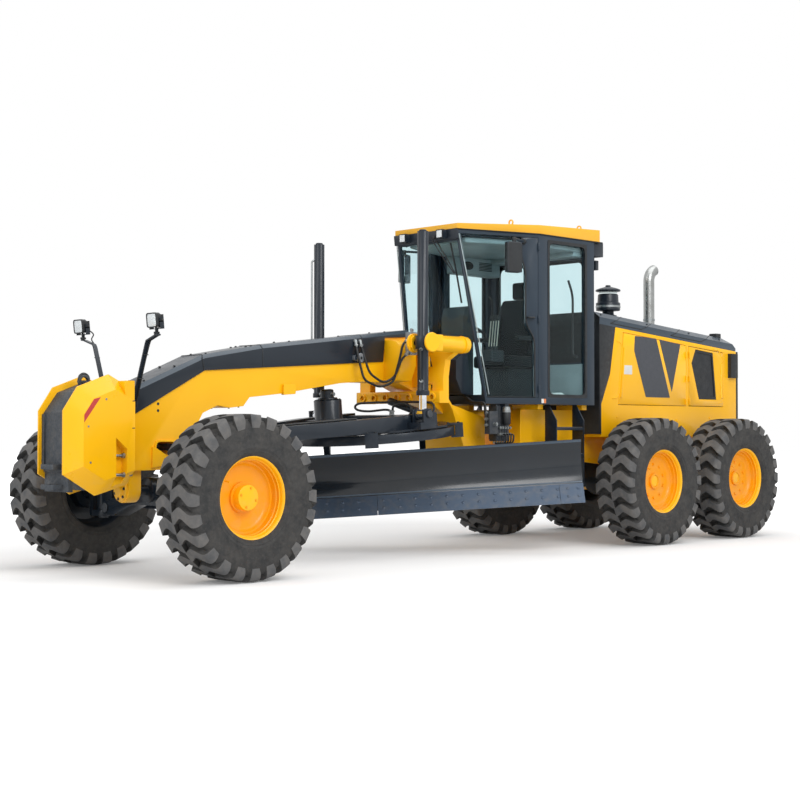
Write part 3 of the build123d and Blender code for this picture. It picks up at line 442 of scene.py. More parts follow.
def dress(node, look, bevel, split=None, cut=None, merge=True):
    """Stand a copy of a CAD node in its place with its seams merged, flat faces joined and edges rounded.

    split is (second finish, test), where test takes face centres and normals and marks faces for it.
    cut is a plane's (point, normal) that the faces are divided along before the test."""
    source = frame["nodes"][node]
    mesh = source.data.copy()
    mesh.name = node + "_skin"
    mesh.materials.clear()
    mesh.materials.append(LOOKS[look])
    work = bmesh.new()
    work.from_mesh(mesh)
    bmesh.ops.remove_doubles(work, verts=work.verts, dist=2e-5)
    if cut:
        geometry = work.verts[:] + work.edges[:] + work.faces[:]
        bmesh.ops.bisect_plane(work, geom=geometry, dist=1e-5, plane_co=at(cut[0]).tolist(), plane_no=cut[1])
    if split:
        mesh.materials.append(LOOKS[split[0]])
        centres = np.array([face.calc_center_median() for face in work.faces])
        normals = np.array([face.normal for face in work.faces])
        for face, mark in zip(work.faces, split[1](centres + (MIDDLE, 0, 0), normals)):
            face.material_index = int(mark)
    if merge:
        bmesh.ops.dissolve_limit(work, angle_limit=math.radians(0.6), verts=work.verts, edges=work.edges,
                                 delimit={"MATERIAL"})
    work.to_mesh(mesh)
    work.free()
    settle(bpy.data.objects.new(node + "_skin", mesh), source["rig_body"], (node,), bevel, 32, 2)


# ---------------------------------------------------------------- finishes

def linear(code):
    """Linear colour of a six-digit sRGB code, or of three numbers that are linear already."""
    if not isinstance(code, str):
        return (*code, 1.0)
    value = np.array([int(code[i:i + 2], 16) for i in (0, 2, 4)]) / 255
    return (*np.where(value <= 0.04045, value / 12.92, ((value + 0.055) / 1.055) ** 2.4).tolist(), 1.0)


def wire(tree, kind, output, inputs, **settings):
    """One output of a new shader node, whose inputs are linked where they are sockets and set elsewhere."""
    node = tree.nodes.new("ShaderNode" + kind)
    for name, value in settings.items():
        setattr(node, name, value)
    for socket, value in inputs.items():
        if isinstance(value, bpy.types.NodeSocket):
            tree.links.new(value, node.inputs[socket])
        else:
            node.inputs[socket].default_value = value
    return node.outputs[output]


class Finish:
    """A Principled material with procedural nodes, and short ways to add to it."""

    def __init__(self, name, colour, **constants):
        self.material = bpy.data.materials.new(name)
        self.material.use_nodes = True
        self.tree = self.material.node_tree
        self.shader = self.tree.nodes["Principled BSDF"]
        self.colour = linear(colour)
        self.shader.inputs["Base Color"].default_value = self.colour
        for socket, value in constants.items():
            self.shader.inputs[socket.replace("_", " ")].default_value = value
        self.place = wire(self.tree, "TexCoord", "Object", {})

    def link(self, source, socket):
        """Drive one of the shader's sockets."""
        self.tree.links.new(source, self.shader.inputs[socket])
        return self

    def stretched(self, stretch):
        """Object coordinates, scaled along the axes when stretch is given."""
        return wire(self.tree, "Mapping", "Vector",
                    {"Scale": stretch, "Vector": self.place}) if stretch else self.place

    def noise(self, scale, detail=4.0, roughness=0.55, stretch=None):
        """Noise in object space, optionally stretched along the axes."""
        return wire(self.tree, "TexNoise", "Fac", {
            "Scale": scale, "Detail": detail, "Roughness": roughness, "Vector": self.stretched(stretch),
        })

    def voronoi(self, scale, feature="F1"):
        """Distance to cell centres or edges in object space."""
        return wire(self.tree, "TexVoronoi", "Distance", {"Scale": scale, "Vector": self.place},
                    feature=feature)

    def wave(self, scale, axis):
        """Straight bands across an axis in object space."""
        return wire(self.tree, "TexWave", "Fac", {"Scale": scale, "Vector": self.place}, bands_direction=axis)

    def height(self):
        """Height above the ground."""
        return wire(self.tree, "SeparateXYZ", "Z", {"Vector": self.place})

    def ramp(self, source, low, high, start=0.0, end=1.0):
        """Map a value's range onto another."""
        return wire(self.tree, "MapRange", "Result", {
            "Value": source, "From Min": low, "From Max": high, "To Min": start, "To Max": end,
        })

    def times(self, first, second):
        """Product of two values."""
        return wire(self.tree, "Math", "Value", {0: first, 1: second}, operation="MULTIPLY")

    def blend(self, factor, colour):
        """Mix the base colour so far with another by a factor."""
        base = self.shader.inputs["Base Color"]
        so_far = base.links[0].from_socket if base.is_linked else self.colour
        inputs = {"A": so_far, "B": linear(colour), "Factor": factor}
        return self.link(wire(self.tree, "Mix", "Result", inputs, data_type="RGBA"), "Base Color")

    def tone(self, source, low, high, amount, colour):
        """Mix in a colour, up to an amount, as a value goes from low to high."""
        return self.blend(self.ramp(source, low, high, 0.0, amount), colour)

    def rough(self, source, start, end, low=0.3, high=0.7):
        """Roughness that goes from start to end as a value goes from low to high."""
        return self.link(self.ramp(source, low, high, start, end), "Roughness")

    def bump(self, source, distance, strength):
        """Relief from a value, over any relief already there."""
        inputs = {"Strength": strength, "Distance": distance, "Height": source}
        normal = self.shader.inputs["Normal"]
        if normal.is_linked:
            inputs["Normal"] = normal.links[0].from_socket
        return self.link(wire(self.tree, "Bump", "Normal", inputs), "Normal")


def paint(name, colour, shade, roughness=0.3, coat=0.5, dust="B9A98C"):
    """Sprayed enamel: faint tone drift, orange peel, a clear coat, and thin dust low on the machine."""
    f = Finish(name, colour, Coat_Weight=coat, Coat_Roughness=0.12, Specular_IOR_Level=0.32)
    f.tone(f.noise(1.7, 3), 0.4, 0.75, 0.35, shade)
    f.blend(f.times(f.ramp(f.height(), 1.1, 0.3, 0.0, 0.22), f.ramp(f.noise(9, 6), 0.45, 0.7)), dust)
    f.rough(f.noise(6, 5), roughness * 0.8, roughness * 1.35)
    f.bump(f.noise(420, 2), 0.0004, 0.12)
    return f.bump(f.noise(5, 2), 0.002, 0.06).material


def metal(name, colour, roughness, metallic=1.0, grain=(1, 1, 1), bump=0.1):
    """Bare metal with a drawn or cast grain."""
    f = Finish(name, colour, Metallic=metallic)
    f.tone(f.noise(14, 4), 0.45, 0.7, 0.3, "6E6B66")
    f.rough(f.noise(60, 4, stretch=grain), roughness * 0.7, roughness * 1.4)
    return f.bump(f.noise(160, 3, stretch=grain), 0.0006, bump).material


def plastic(name, colour, roughness=0.5, grain=900, relief=0.15):
    """Moulded plastic with a fine grain."""
    f = Finish(name, colour)
    f.tone(f.noise(3, 3), 0.45, 0.75, 0.3, "33383C")
    f.rough(f.noise(25, 4), roughness * 0.8, roughness * 1.25)
    return f.bump(f.voronoi(grain), 0.0004, relief).material


def rubber(name, colour, dust, amount):
    """Tyre rubber: matt, finely pitted and dusty."""
    f = Finish(name, colour, Specular_IOR_Level=0.35)
    f.blend(f.ramp(f.noise(7, 7, 0.65), 0.35, 0.7, 0.05, amount), dust)
    f.tone(f.noise(45, 4), 0.5, 0.8, 0.25, "5F5C58")
    f.rough(f.noise(20, 5), 0.62, 0.9)
    f.bump(f.noise(35, 6, 0.7), 0.002, 0.25)
    return f.bump(f.voronoi(300), 0.0006, 0.2).material


def cloth(name, colour, light):
    """Seat cloth: a ribbed weave with a soft sheen."""
    f = Finish(name, colour, Roughness=0.85, Sheen_Weight=0.12, Sheen_Roughness=0.5, Specular_IOR_Level=0.25)
    f.tone(f.noise(60, 3, stretch=(1, 0.3, 1)), 0.4, 0.7, 0.2, light)
    f.tone(f.noise(5, 3), 0.45, 0.7, 0.25, "0E1012")
    f.bump(f.wave(40, "Y"), 0.0008, 0.15)
    return f.bump(f.noise(60, 3), 0.0005, 0.08).material


def hose_cover(name, colour):
    """Hose cover: wrapped rubber with a faint cross grain."""
    f = Finish(name, colour)
    f.tone(f.noise(10, 4), 0.45, 0.7, 0.35, "3A3D40")
    f.rough(f.noise(30, 3), 0.42, 0.65)
    return f.bump(f.voronoi(220), 0.0008, 0.25).material


def mesh_screen(name, colour, hole_shade):
    """Punched screen: round holes between wires, drawn as dark cells."""
    f = Finish(name, colour, Metallic=0.2)
    cells = f.voronoi(130)
    f.blend(f.ramp(cells, 0.32, 0.42, 1.0, 0.0), hole_shade)
    f.rough(f.noise(20, 3), 0.4, 0.6)
    return f.bump(f.ramp(cells, 0.3, 0.45), 0.0015, 0.6).material


def glass(name, tint, shade, film=0.05):
    """Tinted safety glass: transmits, lets the light through for shadows, and carries a faint dust film."""
    f = Finish(name, tint, Roughness=0.02, IOR=1.18, Transmission_Weight=1.0)
    f.tone(f.noise(4, 5), 0.4, 0.8, 0.3, shade)
    f.rough(f.noise(7, 5), 0.01, film, 0.35, 0.75)
    clear = wire(f.tree, "BsdfTransparent", "BSDF", {"Color": linear(tint)})
    shadow = wire(f.tree, "LightPath", "Is Shadow Ray", {})
    mixed = wire(f.tree, "MixShader", "Shader", {"Fac": shadow, 1: f.shader.outputs["BSDF"], 2: clear})
    f.tree.links.new(mixed, f.tree.nodes["Material Output"].inputs["Surface"])
    return f.material


def lamp_lens(name, colour):
    """Clear lamp glass with moulded lines over a bright reflector."""
    f = Finish(name, colour, Metallic=0.55, Coat_Weight=1.0, Coat_Roughness=0.03)
    lines = f.wave(55, "Z")
    f.tone(lines, 0.2, 0.8, 0.4, "A9B4BA")
    f.rough(f.noise(20, 3), 0.12, 0.3)
    return f.bump(lines, 0.002, 0.5).material


def prismatic(name, colour, dark):
    """Reflector sheet: a fine honeycomb under a clear film."""
    f = Finish(name, colour, Coat_Weight=1.0, Coat_Roughness=0.08)
    f.blend(f.ramp(f.voronoi(260, "DISTANCE_TO_EDGE"), 0.0, 0.12, 0.7, 0.0), dark)
    f.rough(f.noise(30, 3), 0.25, 0.4)
    return f.bump(f.voronoi(260), 0.0005, 0.2).material


def make_looks(c):
    """All the machine's finishes, by name."""
    LOOKS.update(
        yellow=paint("Yellow enamel", c.yellow, "FCB406", 0.34, 0.15),
        # Rim enamel is a deeper orange than the yellow: painted shade for the rims' deep dishes, barrels,
        # bolt heads and valve stems.
        rim=paint("Rim enamel", c.rim, "F2A400", 0.36, 0.12),
        roof=paint("Roof enamel", c.roof, "DFA024", 0.4, 0.1),
        charcoal=paint("Charcoal enamel", c.charcoal, "121A22", 0.34, 0.2, "4A4944"),
        slate=paint("Slate enamel", c.slate, "2F3A45", 0.36, 0.25, "5A5A56"),
        frame=paint("Cab frame enamel", c.cab, "1A2631", 0.36, 0.2, "4A4944"),
        blade=paint("Mouldboard enamel", "121A22", "1A242E", 0.2, 0.5, "3C3A36"),
        # Pale bluish grey for the mouldboard's lip and weld strips: a painted highlight along them.
        lip=paint("Mouldboard lip", "4C5B6A", "3E4B58", 0.3, 0.3, "4C4A45"),
        edge=metal("Cutting edge steel", "445264", 0.38, 0.45, (1, 1, 6)),
        decal=plastic("Decal film", "3E4148", 0.42, 400, 0.05),
        steel=metal("Grey steel", "8C9298", 0.4, 0.6, (1, 1, 5)),
        cast=metal("Cast iron", "454A50", 0.6, 0.5, (1, 1, 1), 0.25),
        chrome=metal("Chromed rod", "E4E8EC", 0.1, 1.0, (1, 1, 0.2), 0.02),
        stainless=metal("Stainless pipe", "A4A6A5", 0.3, 1.0, (1, 1, 0.3), 0.05),
        zinc=metal("Plated fitting", "9A9FA0", 0.36, 0.9, (1, 1, 1), 0.06),
        bolt=metal("Black bolt", "2A2D30", 0.45, 0.7),
        rubber=rubber("Tyre side rubber", c.rubber, "605C57", 0.4),
        tread=rubber("Tyre lug rubber", "4A4C4F", "7E7A75", 0.6),
        black=plastic("Black plastic", "14171A"),
        # The lining's grey is made pale: painted light that stands in for the light the dim cab lacks.
        lining=plastic("Grey cab lining", "A3B0B3", 0.6, 500),
        console=plastic("Console plastic", "23282C", 0.5),
        knob=plastic("Pale lever knob", "B7B3A6", 0.35),
        mat=plastic("Floor mat", "565D61", 0.75, 160, 0.5),
        paper=plastic("White card", "E2E2DE", 0.6, 300, 0.1),
        cloth=cloth("Cushion cloth", c.cloth, "30353A"),
        hose=hose_cover("Hose rubber", "0C0E10"),
        screen=mesh_screen("Door screen", "26292D", "060708"),
        grille=mesh_screen("Radiator screen", "202327", "060708"),
        glass=glass("Tinted glass", c.glass, "D4E9ED"),
        clear=glass("Clear bowl", "DDE8E8", "CCD8DA", 0.12),
        # Pale beads on the panes' edges: a painted highlight for the light caught in the glass's edge.
        glass_edge=plastic("Glass edge", "A9BABC", 0.2, 300, 0.02),
        mirror=metal("Mirror glass", "D5DADD", 0.04, 1.0, (1, 1, 1), 0.0),
        lens=lamp_lens("Lamp lens", "E9EEF0"),
        red=prismatic("Red reflector", "C81E14", "7A0E08"),
        amber=prismatic("Amber reflector", "E8780E", "8A3E04"),
    )


# ---------------------------------------------------------------- wheels

TRACK = 1.075  # distance of the wheels' middles from the machine's
WHEELS = {
    "front": (6.26, 0.035, 0.130, 0.102, 4, 0.078),
    "middle": (0.769, 0.050, 0.070, 0.060, 10, 0.175),
    "rear": (-0.769, 0.050, 0.070, 0.060, 10, 0.175),
}  # station, disc, cap, cap radius, bolts, bolt circle


def carcass(s):
    """Tyre body: a closed lathe of its section, with fine rings moulded in the sidewall."""
    r, w = s.tyre_radius, s.tyre_width / 2
    side = [
        (w - 0.058, r - 0.338), (w - 0.040, r - 0.336), (w - 0.026, r - 0.320), (w - 0.017, r - 0.308),
        (w - 0.010, r - 0.290), (w - 0.012, r - 0.286), (w - 0.005, r - 0.262), (w - 0.007, r - 0.258),
        (w - 0.001, r - 0.215), (w - 0.002, r - 0.211), (w, r - 0.175), (w - 0.003, r - 0.130),
        (w - 0.007, r - 0.100), (w - 0.012, r - 0.072), (w - 0.026, r - 0.054), (w - 0.065, r - 0.046),
        (w - 0.145, r - 0.042),
    ]
    far = [(-station, radius) for station, radius in side[::-1]]
    return lathe(side + far, (0, 0, 0), sides=120, closed=True)


def tread(s):
    """Lugs of one half of the tread: (r cos a, y, r sin a), with a = lug's angle + drift(y) +- half width.

    The table's columns are the top's depths under the tyre's half width and radius, the root's, the drift
    and the width in pitches."""
    section = np.array([
        (0.003, 0.112, 0.018, 0.115, 0.00, 0.50), (-0.001, 0.082, 0.018, 0.090, 0.00, 0.58),
        (-0.001, 0.055, 0.024, 0.066, 0.01, 0.62), (0.003, 0.034, 0.030, 0.058, 0.02, 0.62),
        (0.013, 0.016, 0.040, 0.054, 0.05, 0.62), (0.030, 0.007, 0.045, 0.052, 0.11, 0.61),
        (0.060, 0.003, 0.062, 0.050, 0.24, 0.58), (0.100, 0.0, 0.100, 0.047, 0.40, 0.54),
        (0.130, 0.0, 0.130, 0.046, 0.44, 0.52), (0.165, 0.0, 0.165, 0.046, 0.34, 0.54),
        (0.200, 0.0, 0.200, 0.046, 0.20, 0.57), (0.232, 0.001, 0.232, 0.046, 0.14, 0.50),
    ])
    section[:, :4] = np.tile((s.tyre_width / 2, s.tyre_radius), 2) - section[:, :4]
    section = spline(section, 3)
    pitch = 2 * math.pi / s.lugs
    angle = (np.arange(s.lugs)[:, None] + section[:, 4]) * pitch
    half = section[:, 5] * pitch / 2
    root = half + 0.02

    def line(column, turn):
        """Points along every lug at one corner of its section."""
        y, radius = section[:, column], section[:, column + 1]
        a = angle + turn
        return np.stack([radius * np.cos(a), np.broadcast_to(y, a.shape), radius * np.sin(a)], -1)

    ring = np.stack([line(2, -root), line(0, -half), line(0, half), line(2, root)], 2)
    n = len(section)
    starts = (np.arange(s.lugs) * n * 4)[:, None, None]
    walls = quads(n, 4).reshape(n - 1, 3, 4)
    ends = np.array([[0, 1, 2, 3], [4 * n - 4, 4 * n - 3, 4 * n - 2, 4 * n - 1]])
    points = ring.reshape(-1, 3)
    tops = (walls[:, 1][None] + starts).reshape(-1, 4)
    sides = np.concatenate([walls[:, 0], walls[:, 2], ends])
    return (points, [tops]), (points, [(sides[None] + starts).reshape(-1, 4)])


def rim_parts(disc, cap, cap_radius):
    """Cap, disc with its barrel, flange and inner face of a rim: lathes that meet edge to edge."""
    outer = [
        (cap, 0), (cap, cap_radius - 0.012), (cap - 0.004, cap_radius - 0.003), (cap - 0.010, cap_radius),
        (disc + 0.024, cap_radius), (disc + 0.022, cap_radius + 0.018), (disc + 0.001, cap_radius + 0.020),
        (disc, 0.232), (disc + 0.004, 0.248), (disc + 0.016, 0.262), (disc + 0.034, 0.272),
        (disc + 0.036, 0.285), (0.112, 0.292), (0.116, 0.300), (0.142, 0.302), (0.146, 0.308),
        (0.166, 0.311), (0.178, 0.317), (0.186, 0.328), (0.189, 0.342), (0.194, 0.347), (0.199, 0.345),
        (0.201, 0.349), (0.197, 0.354), (0.188, 0.352), (0.180, 0.340), (0.176, 0.322),
    ]
    inner = [
        (0.176, 0.322), (-0.176, 0.322), (-0.180, 0.340), (-0.188, 0.352), (-0.197, 0.354), (-0.201, 0.349),
        (-0.189, 0.342), (-0.186, 0.328), (-0.160, 0.310), (-0.080, 0.300), (disc - 0.050, 0.284),
        (disc - 0.020, 0.262), (disc - 0.020, 0.165), (-0.030, 0.155), (-0.056, 0.150), (-0.057, 0.062),
    ]
    pieces = outer[:5], outer[4:15], outer[14:], inner
    return [lathe(profile, (0, 0, 0), sides=96) for profile in pieces]


def build_wheels(s):
    """Six tyres and rims, each made round its own axle; the tread's halves are half a lug apart."""
    tops, sides = tread(s)
    a = math.pi / s.lugs
    opposite = np.array([(math.cos(a), 0, -math.sin(a)), (0, -1, 0), (math.sin(a), 0, math.cos(a))])
    tyre = {"rubber": [carcass(s), sides, moved(sides, matrix=opposite)],
            "tread": [tops, moved(tops, matrix=opposite)]}
    bends = (0.262, 0.130, 0.145), (0.240, 0.175, 0.132), (0.236, 0.184, 0.130)
    stem = joined(peg(bends[0], bends[1], 0.006), peg(bends[1], bends[2], 0.008))
    for axle, (x, disc, cap, cap_radius, count, circle) in WHEELS.items():
        hub, dish_in_painted_shade, flange, back = rim_parts(disc, cap, cap_radius)
        seat, radius, height = (cap, 0.009, 0.007) if axle == "front" else (disc, 0.014, 0.014)
        angles = np.arange(count) * 2 * math.pi / count + 0.3
        spots = np.stack([circle * np.cos(angles), np.full(count, seat), circle * np.sin(angles)], -1)
        heads = bolts(spots, Y, radius, height)
        # The dish, barrel, bolt heads and valve stem take the deeper orange rim enamel, painted shade of the
        # deep dish; the cap and flange keep the yellow.
        rim = {"yellow": [hub, flange], "rim": [dish_in_painted_shade, heads, stem], "charcoal": back}
        for word, side in (("left", 1), ("right", -1)):
            name = axle + "_" + word

            def put(patch):
                return moved(patch, at((x, side * TRACK, s.tyre_radius)), np.diag((1, side, 1)))

            body, tyre_node, rim_node = "wheel_" + name, "tyre_" + name, "rim_" + name
            add_piece(tyre_node + "_skin", body, tyre, put, (tyre_node,), 0.004, 40, 1)
            add_piece(rim_node + "_skin", body, rim, put, (rim_node,), angle=28)


# ---------------------------------------------------------------- hood and stacks

HOOD_SIDE, HOOD_DOOR = 0.680, 0.684  # outer faces of the hood's sides and of its front doors
COVER_EDGE = 0.105  # depth of the cover's side edge under its top


def build_hood():
    """Decals, plates, pressed ribs, door screens and hinges on both sides, and the cover's seams."""
    panel = [(0.483, 2.210), (0.496, 2.050), (0.287, 1.550), (-0.164, 1.550), (0.088, 2.195)]
    wedge = [(0.035, 2.190), (-0.367, 2.150), (-0.200, 1.612)]
    opening = [(-0.590, 1.949), (-0.735, 1.542), (-1.080, 1.542), (-1.012, 2.075), (-0.668, 2.105)]
    middle = np.mean(opening, 0)
    wide, screen, narrow = [middle + (opening - middle) * scale for scale in (0.99, 0.965, 0.90)]
    front = [(0.800, 2.140), (0.735, 2.132), (0.706, 2.085), (0.762, 1.585), (0.800, 1.535), (0.880, 1.528)]
    rear = [(-1.034, 2.120), (-1.130, 2.115), (-1.181, 2.068), (-1.236, 1.560), (-1.205, 1.510),
            (-1.130, 1.500)]
    under, film, card = HOOD_DOOR - 0.001, HOOD_DOOR + 0.0012, HOOD_DOOR + 0.0015
    decals = {"decal": [side_prism(rounded(line, 0.012, 4), under, film) for line in (panel, wedge)],
              "paper": side_prism(rounded(rectangle(0.535, 0.690, 1.790, 1.888), 0.01, 4), under, card)}
    vent = {"screen": side_prism(screen, 0.671, 0.6745),
            "black": placed(ring_plate(rounded(wide, 0.02), rounded(narrow, 0.02), "y", 0.670, 0.682))}
    ribs = [bent_hose(at([(x, HOOD_SIDE - 0.001, z) for x, z in line]), 0.0075, 0.05, 10)
            for line in (front, rear)]
    foot_bolts = [(x, HOOD_SIDE, z) for x, z in ((0.80, 1.33), (0.35, 1.30), (-0.30, 1.30), (-0.95, 1.33))]
    ribs.append(bolts(at(foot_bolts), Y, 0.010))
    for word, turn in SIDES:
        add_piece("hood_decals_" + word, "hood_door_front_" + word, decals, turn=turn, angle=30)
        add_piece("hood_screen_" + word, "hood_door_rear_" + word, vent, turn=turn, angle=30)
        for end, x in (("front", -0.470), ("rear", -0.540)):
            barrels = [upright(x, 0.688, z - 0.035, z + 0.035, 0.008, 14, 0.002) for z in (2.04, 1.77, 1.51)]
            add_piece("hood_hinges_{}_{}".format(end, word), "hood_door_{}_{}".format(end, word),
                      {"yellow": barrels}, turn, angle=40)
        add_piece("hood_ribs_" + word, "rear_frame", {"yellow": ribs}, turn, angle=40)
    lines, proud = [], HOOD_SIDE + 0.0005
    for low, high in ((0.907, 0.600), (0.361, 0.050), (-0.192, -0.490), (-0.782, -1.080)):
        shoulder = low - (low - high) * 0.35
        run = [(low, proud, hood_top(low) - COVER_EDGE), (shoulder, proud, hood_top(shoulder) - 0.062),
               (high, 0.590, hood_top(high) + 0.002)]
        lines.append(bead(at(run + [(x, -y, z) for x, y, z in run[::-1]]), 0.0045))
    for ends in ((0.907, 0.361), (-0.192, -0.782)):
        lines.append(both(bead(at([(x, proud, hood_top(x) - COVER_EDGE) for x in ends]), 0.0045)))
    places = [(x, y, hood_top(x) - 0.028) for x in (1.02, 0.20, -0.60, -1.22) for y in (0.637, -0.637)]
    add_piece("hood_seams", "rear_frame", {"black": lines, "bolt": bolts(at(places), (0.06, 0, 1), 0.010)},
              angle=50)
    lights = [both(block((-1.4765, 0.688, z), (-1.4745, 0.718, z + 0.052))) for z in (1.825, 1.900, 1.980)]
    add_piece("tail_lamps", "rear_frame", {"red": lights[:2], "amber": lights[2]}, bevel=0.001)


def build_stacks():
    """Air precleaner, as stacked lathes, and the exhaust with its open elbow."""
    x, y = 0.450, 0.300
    place = at((x, y, hood_top(x) - 0.010))
    bowl = turned([
        (-0.02, 0.108), (0.012, 0.108), (0.018, 0.098), (0.066, 0.094), (0.072, 0.070), (0.080, 0.064),
        (0.108, 0.062), (0.114, 0.075), (0.118, 0.126), (0.124, 0.132), (0.196, 0.134), (0.204, 0.130),
        (0.210, 0.116), (0.286, 0.112), (0.296, 0.108), (0.301, 0.098),
    ], place, Z, 72)
    ring = turned([(0.300, 0.099), (0.330, 0.099)], place, Z, 72)
    cap = turned([
        (0.329, 0.130), (0.332, 0.136), (0.344, 0.137), (0.352, 0.130), (0.366, 0.092), (0.378, 0.046),
        (0.384, 0.030), (0.396, 0.028), (0.400, 0.020),
    ], place, Z, 72)
    strap = lathe([(0.150, 0.134), (0.150, 0.1365), (0.172, 0.1365), (0.172, 0.134)], place, Z, 72)
    clip = moved(bolts([(0.1365, 0, 0.161)], X, 0.010, 0.014), place)
    add_piece("precleaner_skin", "rear_frame",
              {"charcoal": [bowl, cap], "clear": ring, "zinc": [strap, clip]},
              replaces=("precleaner",), angle=35)
    x, r, knee = -0.310, 0.140, 2.880
    base = hood_top(x) - 0.010
    rise = [(x, y, z) for z in (base, base + 0.15, base + 0.30, knee - 0.05)]
    curve = [(x - r + r * math.cos(a), y, knee + r * math.sin(a)) for a in np.radians(np.linspace(0, 72, 14))]
    tube = pipe(at(rise + curve), 0.062, 0.004, 48)
    flange = lathe([(0, 0.05), (0, 0.088), (0.012, 0.090), (0.046, 0.090), (0.050, 0.086), (0.052, 0.062)],
                   at((x, y, base - 0.02)), Z, 48)
    clamp = lathe([(0.10, 0.061), (0.10, 0.066), (0.125, 0.066), (0.125, 0.061)], at((x, y, base)), Z, 48)
    add_piece("exhaust_skin", "rear_frame", {"stainless": tube, "zinc": clamp, "cast": flange},
              replaces=("exhaust",), angle=40)


# ---------------------------------------------------------------- cab outside

SILL, BROW = 1.518, 3.112  # ends of the cab's tall panes
LENS_SIDES, LENS_ENDS = 0.036, (3.080, 3.150)  # half width of the roof lamps' glasses, and their heights


def window_seal(window, inset, axis, low, high):
    """Rubber frame round a window, from just outside its rectangle to an inset."""
    return ring_plate(rounded(rectangle(*window, 0.004), 0.03), rounded(rectangle(*window, -inset), 0.06),
                      axis, low, high)


def build_cab(s):
    """Seals, door fittings, mirrors, wipers, lamp glasses, roof gutter and bare plates outside the cab."""
    doorway = placed(window_seal((1.365, 1.995, 1.525, 3.110), 0.028, "y", 0.700, 0.7225))
    back = placed(window_seal((-0.60, 0.60, 1.90, 2.98), 0.026, "x", 1.236, 1.262))
    eaves = [(1.10, 0.722, 3.158), (2.132, 0.724, 3.158), (3.012, 0.426, 3.158)]
    gutter = bead(at(bend(eaves + [(x, -y, z) for x, y, z in eaves[::-1]], 0.05)), 0.007, 8)
    # Pale beads down the corner panes' edges: painted highlight.
    panes = bead(at([(3.002, 0.432, 3.112), (2.849, 0.495, 2.330), (2.701, 0.554, 1.545)]), s.pane_glint_radius, 10)
    add_piece("cab_seals", "rear_frame",
              {"black": [both(doorway), back, gutter], "glass_edge": both(panes)}, angle=40)
    path = [(0.055, 1.520), (0.055, 2.105), (0.160, 2.255), (0.160, 2.790), (0.205, 2.900), (0.205, 3.110)]
    seal = bead(bend([(x, 0.001, z) for x, z in path], 0.09, 8), 0.0085, 10)
    edge = [((nose_x(z) - DOOR[0]) / 0.94652 - 0.031, -0.020, z) for z in (SILL, BROW)]
    brim = bead([(0.02, -0.018, SILL + 0.002), (edge[0][0], -0.018, SILL + 0.002)], 0.006, 8)
    grip = [(0.075, 0.004, 2.312), (0.075, 0.042, 2.312), (0.145, 0.042, 2.312), (0.145, 0.004, 2.312)]
    knobs = [peg((0.395, 0.18, 3.02), (0.395, 0.18, 3.085), 0.020, 20, 0.006),
             peg((0.17, -0.01, 3.07), (0.20, 0.03, 3.07), 0.026, 20, 0.006)]
    hinges = [peg((0.010, 0.008, z - 0.04), (0.010, 0.008, z + 0.04), 0.011, 16, 0.003)
              for z in (3.03, 2.30, 1.60)]
    trim = [seal, brim, *knobs, bent_hose(grip, 0.009, 0.02)]
    # The pale bead on the door glass's front edge is a painted highlight.
    fittings = {"black": trim, "glass_edge": bead(edge, 0.0048, 8), "frame": hinges}
    shell = prism(rounded(rectangle(0.315, 0.485, 2.735, 3.040), 0.035, 6), "y", 0.142, 0.208)
    face = prism(rounded(rectangle(0.328, 0.472, 2.748, 3.027), 0.028, 6), "y", 0.139, 0.143)
    for word, side in SIDES:
        body = "cab_door_" + word

        def turn(patch):
            return side(on_door(patch))

        add_piece("cab_door_fittings_" + word, body, fittings, turn=turn, angle=40)
        add_piece("mirror_shell_" + word, body, {"black": shell}, turn=turn, bevel=0.016, segments=4)
        add_piece("mirror_face_" + word, body, {"mirror": face}, turn, bevel=0.001)
    wipers = []
    for shift in (0.0, -0.045):
        arm = [(nose_x(3.10) + 0.035, 0.13 + shift, 3.095), (nose_x(2.92) + 0.035, 0.24 + shift, 2.92),
               (nose_x(2.73) + 0.030, 0.345 + shift * 0.3, 2.73)]
        wipers.append(hose(at(arm), 0.006, 8, 4))
    squeegee = [(nose_x(z) + 0.016, y, z) for y, z in ((0.320, 3.03), (0.352, 2.72), (0.372, 2.44))]
    pivot = at((nose_x(3.10), 0.13, 3.095))
    wipers += [strip(at(squeegee), 0.016, 0.010, 3), peg(pivot, pivot + (0.05, 0, 0), 0.018, 20, 0.004)]
    add_piece("wipers", "rear_frame", {"black": wipers}, angle=40)
    lens, rims = [], []
    for y in (-0.256, 0.256):
        opening = y - LENS_SIDES, y + LENS_SIDES, *LENS_ENDS
        lens.append(block((3.094, opening[0], opening[2]), (3.099, opening[1], opening[3])))
        rims.append(placed(ring_plate(rectangle(*opening, 0.008), rectangle(*opening), "x", 3.093, 3.101)))
    lens.append(block((1.055, 0.566, 2.888), (1.061, 0.634, 2.972)))
    add_piece("work_lamp_glass", "rear_frame", {"lens": lens, "black": rims}, bevel=0.0015)
    plates = [side_prism(rectangle(x, x + 0.035, 1.462, 1.505), 0.719, 0.7225) for x in (2.030, 2.065)]
    add_piece("cab_bare_plate", "rear_frame", {"amber": plates[0], "paper": plates[1]}, angle=30)


# ---------------------------------------------------------------- cab inside

